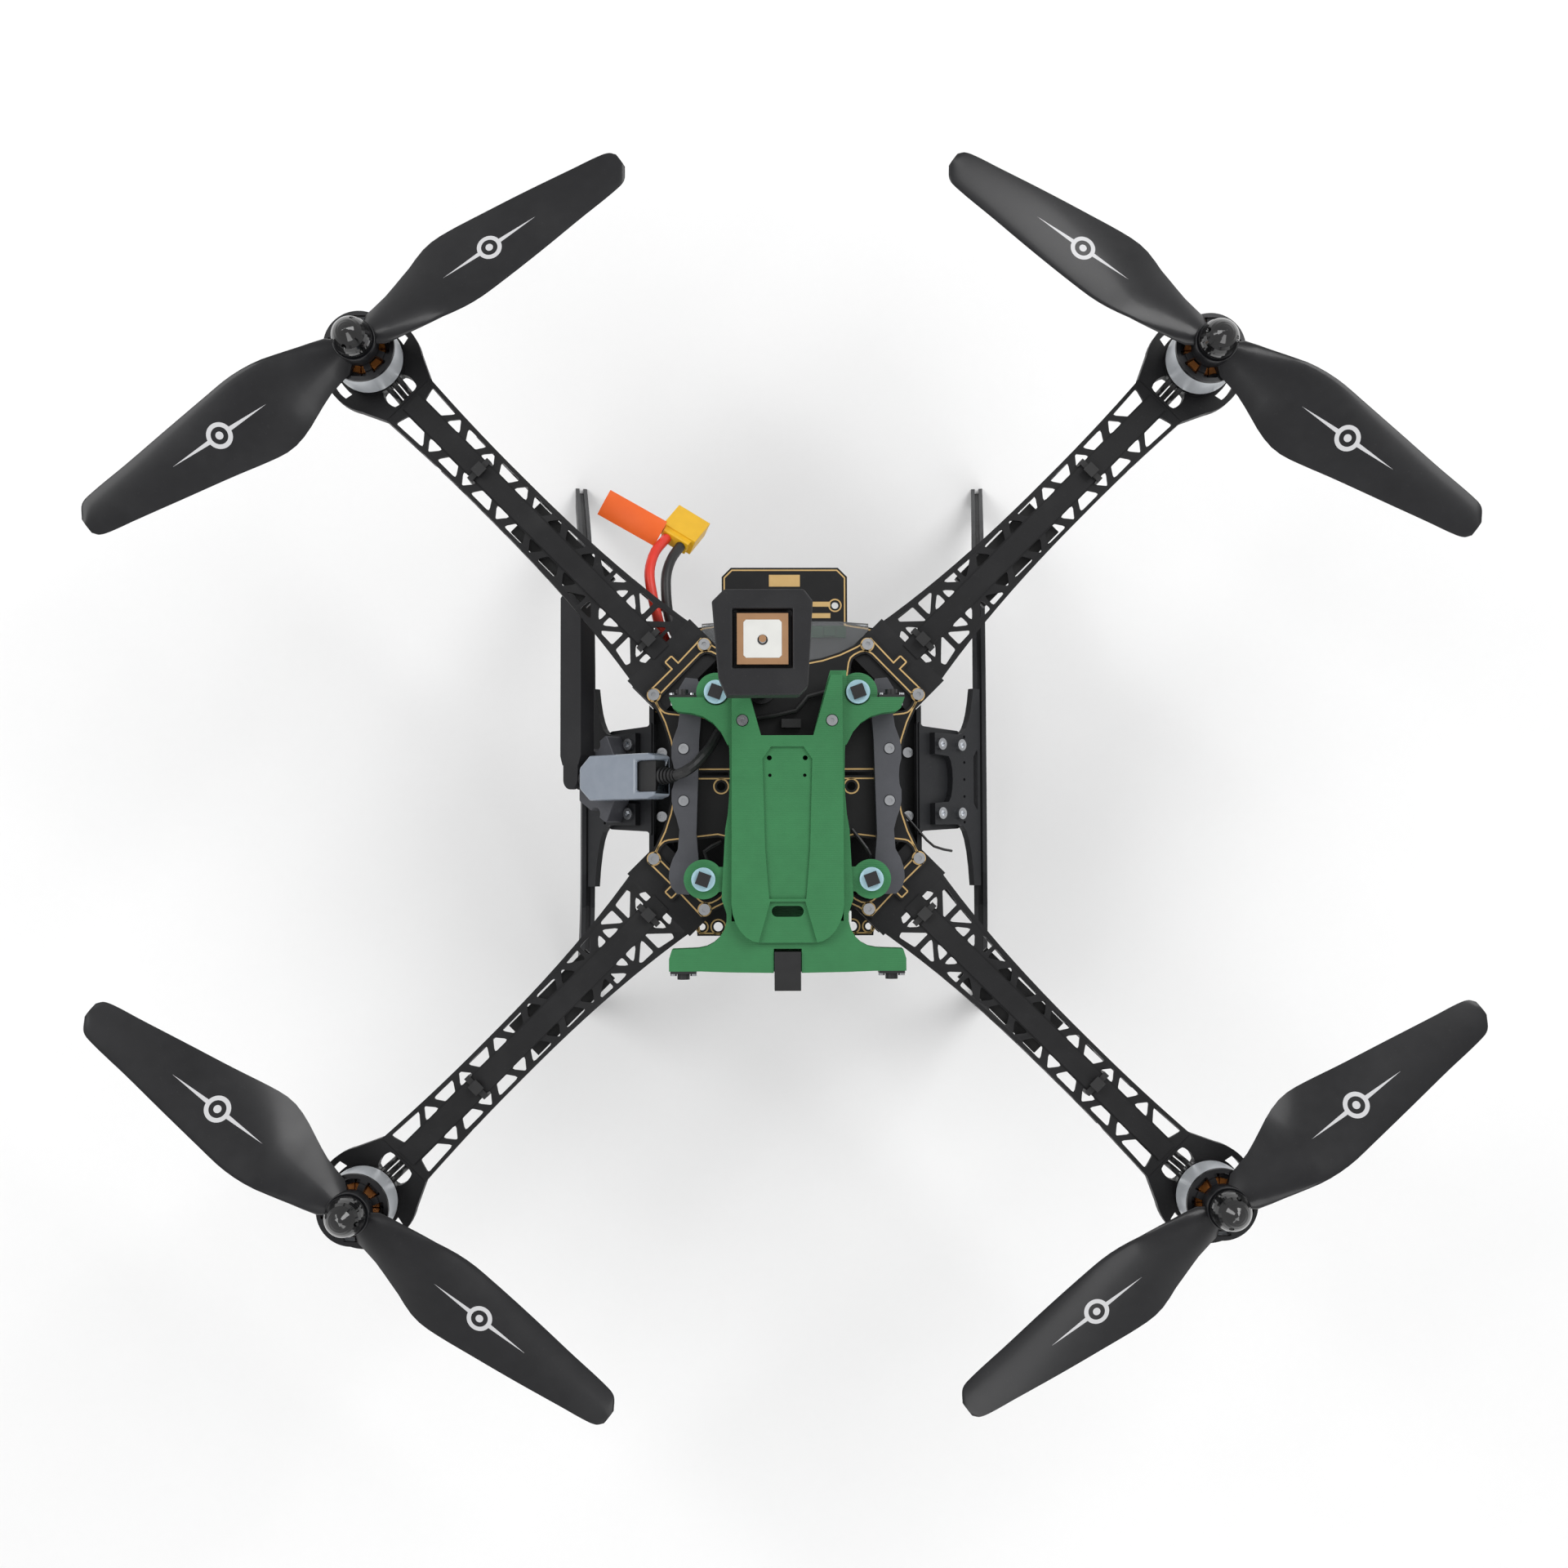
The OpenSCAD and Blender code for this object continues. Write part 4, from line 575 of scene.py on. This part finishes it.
EDGE_ROUNDING = {
    "deck_tray": 0.35, "deck_cover": 0.4, "deck_rails": 0.5, "gps_case": 0.5,
    "wifi_dongle": 1.2, "antenna_paddle": 0.8, "dongle_cradle": 0.5, "main_camera": 0.4,
    "leg_left": 0.45, "leg_right": 0.45, "gear_bracket_left": 0.3,
    "gear_bracket_right": 0.3, "lead_connector": 0.5,
    "arm_rear_right": 0.2, "arm_rear_left": 0.2, "arm_front_right": 0.2,
    "arm_front_left": 0.2,
}


def paint_cad_nodes():
    for paint, starts in NODE_PAINT.items():
        for name, node in NODES.items():
            if name.startswith(starts):
                node.data.materials.clear()
                node.data.materials.append(paint)


def round_cad_edges():
    """Welds each listed node's loose triangles, joins its flats and rounds its edges."""
    for name, width in EDGE_ROUNDING.items():
        node = NODES[name]
        weld = node.modifiers.new("weld", "WELD")
        weld.merge_threshold = 0.000002
        flats = node.modifiers.new("whole flats", "DECIMATE")
        flats.decimate_type = "DISSOLVE"
        flats.angle_limit = math.radians(0.5)
        modifier = node.modifiers.new("edge rounding", "BEVEL")
        modifier.width = width * MM
        modifier.segments = 2
        modifier.limit_method = "ANGLE"
        modifier.angle_limit = math.radians(40)
        modifier.harden_normals = False


# ---------- leads ----------

LEAD_D = 0.0044
RED_ROUTE = [
    (-39, 43, 156), (-47, 52, 156.5), (-52, 61, 157.5), (-54.5, 70, 158.5),
    (-56.5, 79, 158.5), (-57.5, 88, 156.5), (-55.5, 97, 151.5), (-51, 104.5, 143.5),
]
BLACK_ROUTE = [
    (-35.5, 46.5, 154.5), (-42, 54, 154.5), (-47, 62, 155), (-49.5, 69.5, 155.5),
    (-50.5, 78, 155.5), (-50.5, 87, 153.5), (-48.5, 94.5, 149.5), (-45, 101, 143.5),
]


def smooth_route(route, per=4):
    """Points on a smooth curve through the route, in metres."""
    pts = [np.array(p, float) * MM for p in route]
    last = len(pts) - 1
    out = []
    for i in range(last):
        a, b, c, d = pts[max(i - 1, 0)], pts[i], pts[i + 1], pts[min(i + 2, last)]
        for k in range(per):
            t = k / per
            out.append(0.5 * (2 * b + (c - a) * t + (2 * a - 5 * b + 4 * c - d) * t**2
                              + (3 * b - a - 3 * c + d) * t**3))
    return out + [pts[last]]


def wire_piece(name, route, diameter):
    """A round wire along a route, as a curve of one open spline."""
    points = smooth_route(route)
    data = bpy.data.curves.new(name, "CURVE")
    data.dimensions = "3D"
    data.bevel_depth = diameter / 2
    data.bevel_resolution = 4
    data.use_fill_caps = True
    spline = data.splines.new("POLY")
    spline.points.add(len(points) - 1)
    for spot, p in zip(spline.points, points):
        spot.co = (*p, 1)
    obj = bpy.data.objects.new(name, data)
    bpy.context.scene.collection.objects.link(obj)
    length = sum(float(np.linalg.norm(b - a)) for a, b in zip(points, points[1:]))
    return obj, points, length


def make_leads():
    label = make_label()
    for name, route, node, slot, paint, on_it in (
        ("battery_wire_red", RED_ROUTE, "lead_red", "wire_red", WIRE_RED,
         [NODES["lead_connector"], label]),
        ("battery_wire_black", BLACK_ROUTE, "lead_black", "wire_black", CABLE,
         [NODES["lead_connector"]]),
    ):
        wire, points, length = wire_piece(name, route, LEAD_D)
        name_piece(wire, name, "airframe", paint)
        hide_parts(node)


LABEL_MIDDLE = (-0.0656, 0.1126, 0.147)
LABEL_TURN = (math.radians(8), math.radians(4), math.radians(-29))


def make_label():
    """A plain film label with a lazy curl, standing out from the red wire."""
    deselect()
    bpy.ops.mesh.primitive_grid_add(x_subdivisions=28, y_subdivisions=8, size=1)
    label = bpy.context.object
    for v in label.data.vertices:
        x, y = v.co.x, v.co.y
        v.co = (x * 0.028, y * 0.0118, 0.0011 * math.sin(3.2 * x) - 0.0008 * (2 * y) ** 2)
    turn = Matrix.Identity(3)
    for angle, axis in zip(LABEL_TURN[::-1], "ZYX"):
        turn = turn @ Matrix.Rotation(angle, 3, axis)
    label.matrix_world = Matrix.Translation(LABEL_MIDDLE) @ turn.to_4x4()
    apply_place(label)
    thick = label.modifiers.new("film", "SOLIDIFY")
    thick.thickness = 0.0003
    thick.offset = 0
    apply_modifiers(label)
    smooth(label)
    name_piece(label, "lead_label", "airframe", FLAG)
    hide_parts("lead_flag")
    return label


# ---------- propellers ----------

PROP_R = CHART_LONG
PROP_PITCH = 100.0
HUB_H = 8.0
BLADE_DROP = 3.6
PROP_Z = 0.206
HUB_OFFSET = 0.24 / math.sqrt(2)
PROP_REST = dict(zip(CORNERS, (34.5, 145, 142.5, 36.5)))
PROP_HAND = dict(zip(CORNERS, (1, -1, -1, 1)))
PROP_PLACE = {
    "rear_right": (-1, 1), "rear_left": (1, 1), "front_right": (-1, -1),
    "front_left": (1, -1),
}
LEAD_EDGE = [(0.025, 3.2), (0.06, 7), (0.15, 9.8), (0.24, 12.3), (0.32, 14.1), (0.39, 14.6),
             (0.47, 13.9), (0.63, 12), (0.79, 9.8), (0.94, 7.9), (0.975, 6.4), (1, 2)]
TRAIL_EDGE = [(0.025, 3.2), (0.06, 7.4), (0.15, 10), (0.24, 14.2), (0.32, 18), (0.37, 19),
              (0.43, 18.4), (0.55, 16), (0.71, 12.9), (0.87, 9.6), (0.95, 8), (0.985, 6.6),
              (1, 4.4)]
BLADE_T = [(0.025, 3.4), (0.06, 4.4), (0.15, 3.6), (0.3, 2.8), (0.6, 1.8), (1, 1)]


def eased(table, f):
    """A smooth curve through a table of (place, value)."""
    xs = [p[0] for p in table]
    ys = [p[1] for p in table]
    i = min(max(int(np.searchsorted(xs, f)) - 1, 0), len(xs) - 2)

    def slope(k):
        lo, hi = max(k - 1, 0), min(k + 1, len(xs) - 1)
        return (ys[hi] - ys[lo]) / (xs[hi] - xs[lo])

    h = xs[i + 1] - xs[i]
    t = min(max((f - xs[i]) / h, 0), 1)
    return ((2 * t**3 - 3 * t**2 + 1) * ys[i] + (t**3 - 2 * t**2 + t) * h * slope(i)
            + (3 * t**2 - 2 * t**3) * ys[i + 1] + (t**3 - t**2) * h * slope(i + 1))


def section_point(f, around):
    """A point of the blade's skin in millimetres; around runs 0 to 1 about the section."""
    upper = around < 0.5
    s = around * 2 if upper else (1 - around) * 2
    x = (1 - math.cos(math.pi * s)) / 2
    lead, trail = eased(LEAD_EDGE, f), eased(TRAIL_EDGE, f)
    thickness = eased(BLADE_T, f)
    slope = min(0.24 + 0.8 * f, PROP_PITCH / (math.pi * 2 * PROP_R * f))
    half = 5 * (0.2969 * math.sqrt(x) - 0.126 * x - 0.3516 * x**2 + 0.2843 * x**3
                - 0.1036 * x**4)
    rise = 2.2 * x * (1 - x) + (0.55 if upper else -0.45) * half
    w = -lead + x * (lead + trail)
    return f * PROP_R, w, HUB_H - BLADE_DROP - w * slope + (rise - 0.4) * thickness


def blade_stations(count):
    """Places along the blade, close together at the rounded tip."""
    return [0.025 + 0.975 * math.sin(math.pi / 2 * i / count) ** 0.9 for i in range(count + 1)]


BLADE_LONG, BLADE_ROUND = 44, 28


def make_blade():
    """A flat grid rolled round the blade's sections, seamed and closed at both ends."""
    deselect()
    bpy.ops.mesh.primitive_grid_add(
        x_subdivisions=BLADE_LONG, y_subdivisions=BLADE_ROUND, size=1
    )
    blade = bpy.context.object
    stations = blade_stations(BLADE_LONG)
    for v in blade.data.vertices:
        i = round((v.co.x + 0.5) * BLADE_LONG)
        k = round((v.co.y + 0.5) * BLADE_ROUND) % BLADE_ROUND
        v.co = Vector(section_point(stations[i], k / BLADE_ROUND)) * MM
    start_edit(blade)
    bpy.ops.mesh.select_all(action="SELECT")
    bpy.ops.mesh.remove_doubles(threshold=0.000001)
    bpy.ops.mesh.select_all(action="DESELECT")
    bpy.ops.mesh.select_mode(type="EDGE")
    bpy.ops.mesh.select_non_manifold()
    bpy.ops.mesh.edge_face_add()
    bpy.ops.mesh.select_all(action="SELECT")
    bpy.ops.mesh.fill_holes(sides=0)
    bpy.ops.mesh.normals_make_consistent(inside=False)
    end_edit()
    return blade


HUB_R = 8.5


def make_hub():
    hub = disc(HUB_R * MM, HUB_H * MM, (0, 0, HUB_H / 2 * MM), 64)
    start_edit(hub)
    pick_faces(hub, lambda f: f.normal.z > 0.9)
    bpy.ops.mesh.inset(thickness=0.0009)
    bpy.ops.transform.translate(value=(0, 0, -0.0004))
    end_edit()
    bevelled(hub, 0.0005, 3)
    return hub


def chart_blade(obj):
    """Lays each upper face at its place along and across the blade, and lower faces aside."""
    chart = obj.data.uv_layers.new(name="blade")
    for face in obj.data.polygons:
        for loop in face.loop_indices:
            co = obj.data.vertices[obj.data.loops[loop].vertex_index].co
            side = 1 if co.x > 0 else -1
            across = 0.5 + side * co.y / (CHART_WIDE * MM)
            along = abs(co.x) / (CHART_LONG * MM)
            chart.data[loop].uv = (along, across if face.normal.z > 0 else -3)


def make_propeller_pattern(hand):
    blade = make_blade()
    other = own_copy(blade)
    other.data.transform(Matrix.Rotation(math.pi, 4, "Z"))
    obj = join([make_hub(), blade, other])
    for layer in list(obj.data.uv_layers):
        obj.data.uv_layers.remove(layer)
    chart_blade(obj)
    if hand < 0:
        obj.data.transform(Matrix.Scale(-1, 4, Vector((0, 1, 0))))
        start_edit(obj)
        bpy.ops.mesh.select_all(action="SELECT")
        bpy.ops.mesh.flip_normals()
        end_edit()
    smooth(obj, 50)
    return obj


def make_propellers():
    patterns = {hand: make_propeller_pattern(hand) for hand in (1, -1)}
    for corner in CORNERS:
        propeller = own_copy(patterns[PROP_HAND[corner]])
        sx, sy = PROP_PLACE[corner]
        propeller.data.transform(
            Matrix.Translation((sx * HUB_OFFSET, sy * HUB_OFFSET, PROP_Z))
            @ Matrix.Rotation(math.radians(PROP_REST[corner]), 4, "Z")
        )
        name_piece(propeller, "propeller_" + corner + "_moulded", "rotor_" + corner,
                   BLADE)
        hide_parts("propeller_" + corner)
    for pattern in patterns.values():
        bpy.data.objects.remove(pattern)


# ---------- gold tracks on the plates ----------

TRACK_T = 0.00006


def make_track(node, name, edge_gap, width):
    """A gold line that follows every edge of a plate's upper face."""
    track = own_copy(NODES[node])
    start_edit(track)
    bpy.ops.mesh.select_all(action="SELECT")
    bpy.ops.mesh.remove_doubles(threshold=0.000002)
    pick_faces(track, lambda f: f.normal.z < 0.9)
    bpy.ops.mesh.delete(type="FACE")
    bpy.ops.mesh.select_all(action="SELECT")
    bpy.ops.mesh.dissolve_limited(angle_limit=math.radians(1))
    bpy.ops.mesh.select_all(action="SELECT")
    bpy.ops.mesh.inset(thickness=edge_gap, use_boundary=True, use_even_offset=True)
    bpy.ops.mesh.inset(thickness=width, use_boundary=True, use_even_offset=True,
                       use_select_inset=True)
    bpy.ops.mesh.select_all(action="INVERT")
    bpy.ops.mesh.delete(type="FACE")
    end_edit()
    thick = track.modifiers.new("track", "SOLIDIFY")
    thick.thickness = TRACK_T
    thick.offset = 1
    apply_modifiers(track)
    name_piece(track, name, "airframe", GOLD)
    return track


def make_tracks():
    make_track("top_plate", "top_plate_track", 0.0009, 0.0006)
    make_track("bottom_plate", "bottom_plate_track", 0.0008, 0.0006)
    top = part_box("bottom_plate")[1].z + TRACK_T
    pads = []
    for size, place in (((0.0135, 0.0052), (0, 0.0868)), ((0.009, 0.0022), (0.0155, 0.0765)),
                        ((0.009, 0.0022), (0.0155, 0.0715))):
        pad = block((*size, TRACK_T * 2), (*place, top))
        bevelled(pad, 0.00005, 1)
        pads.append(pad)
    name_piece(join(pads), "tail_gold_pads", "airframe", GOLD)


# ---------- receiver, radio and deck details ----------


def make_patch_electrode():
    low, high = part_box("gps_patch")
    centre = (low + high) / 2
    plate = block((0.0134, 0.0134, 0.0004), (centre.x, centre.y, high.z - 0.00055))
    start_edit(plate)
    bpy.ops.mesh.select_all(action="DESELECT")
    bpy.ops.mesh.select_mode(type="EDGE")
    end_edit()
    for edge in plate.data.edges:
        a, b = (plate.data.vertices[i].co for i in edge.vertices)
        edge.select = abs(a.z - b.z) > 0.0001
    start_edit(plate)
    bpy.ops.mesh.bevel(offset=0.0009, segments=1)
    end_edit()
    ring = disc(0.0018, 0.0002, (centre.x, centre.y - 0.0004, high.z - 0.00028), 32)
    name_piece(ring, "patch_pin_ring", "airframe", PLUG)
    pin = disc(0.00125, 0.00018, (centre.x, centre.y - 0.0004, high.z - 0.0001), 32)
    bevelled(pin, 0.00005, 2)
    name_piece(plate, "patch_electrode", "airframe", ELECTRODE)
    smooth(pin)
    name_piece(pin, "patch_pin", "airframe", STEEL)


def make_light_strip():
    strip = block((0.0012, 0.0105, 0.0026), (0.0251, -0.0602, 0.1872))
    bevelled(strip, 0.0003, 3)
    smooth(strip)
    name_piece(strip, "deck_light_strip", "airframe", WHITE)


def make_sensor_board():
    low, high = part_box("power_module")
    middle = (low + high) / 2
    board = block((0.052, 0.0052, 0.0016), (middle.x, high.y - 0.0042, middle.z))
    chips = [block((0.005, 0.004, 0.0014), (x, high.y - 0.0042, middle.z + 0.0015))
             for x in (-0.018, -0.006, 0.008, 0.019)]
    board = join([board, *chips])
    bevelled(board, 0.0002, 2)
    name_piece(board, "sensor_board", "airframe", CIRCUIT)


# ---------- stage ----------


def make_stage():
    deselect()
    bpy.ops.mesh.primitive_plane_add(size=8, location=(0, 0, 0))
    floor = bpy.context.object
    floor.name = "floor"
    floor.data.materials.append(FLOOR)
    for place, size, power in (
        ((0.9, 0.9, 1.5), 1.0, 15), ((-1.1, 0.5, 1.4), 0.9, 10), ((0.2, -1.3, 1.3), 1.1, 9),
    ):
        bpy.ops.object.light_add(type="AREA", location=place)
        lamp = bpy.context.object
        lamp.data.size = size
        lamp.data.energy = power
        lamp.rotation_euler = (Vector((0, 0, 0.15)) - Vector(place)).to_track_quat(
            "-Z", "Y").to_euler()
    world = bpy.data.worlds.new("studio")
    bpy.context.scene.world = world
    world.use_nodes = True
    world.node_tree.nodes["Background"].inputs[0].default_value = (1, 1, 1, 1)
    world.node_tree.nodes["Background"].inputs[1].default_value = 0.56
    # colours show as they are mixed, with no film curve over them
    bpy.context.scene.view_settings.view_transform = "Standard"


set_camera()
make_leads()
paint_cad_nodes()
round_cad_edges()
make_propellers()
make_tracks()
make_patch_electrode()
make_light_strip()
make_sensor_board()
make_stage()
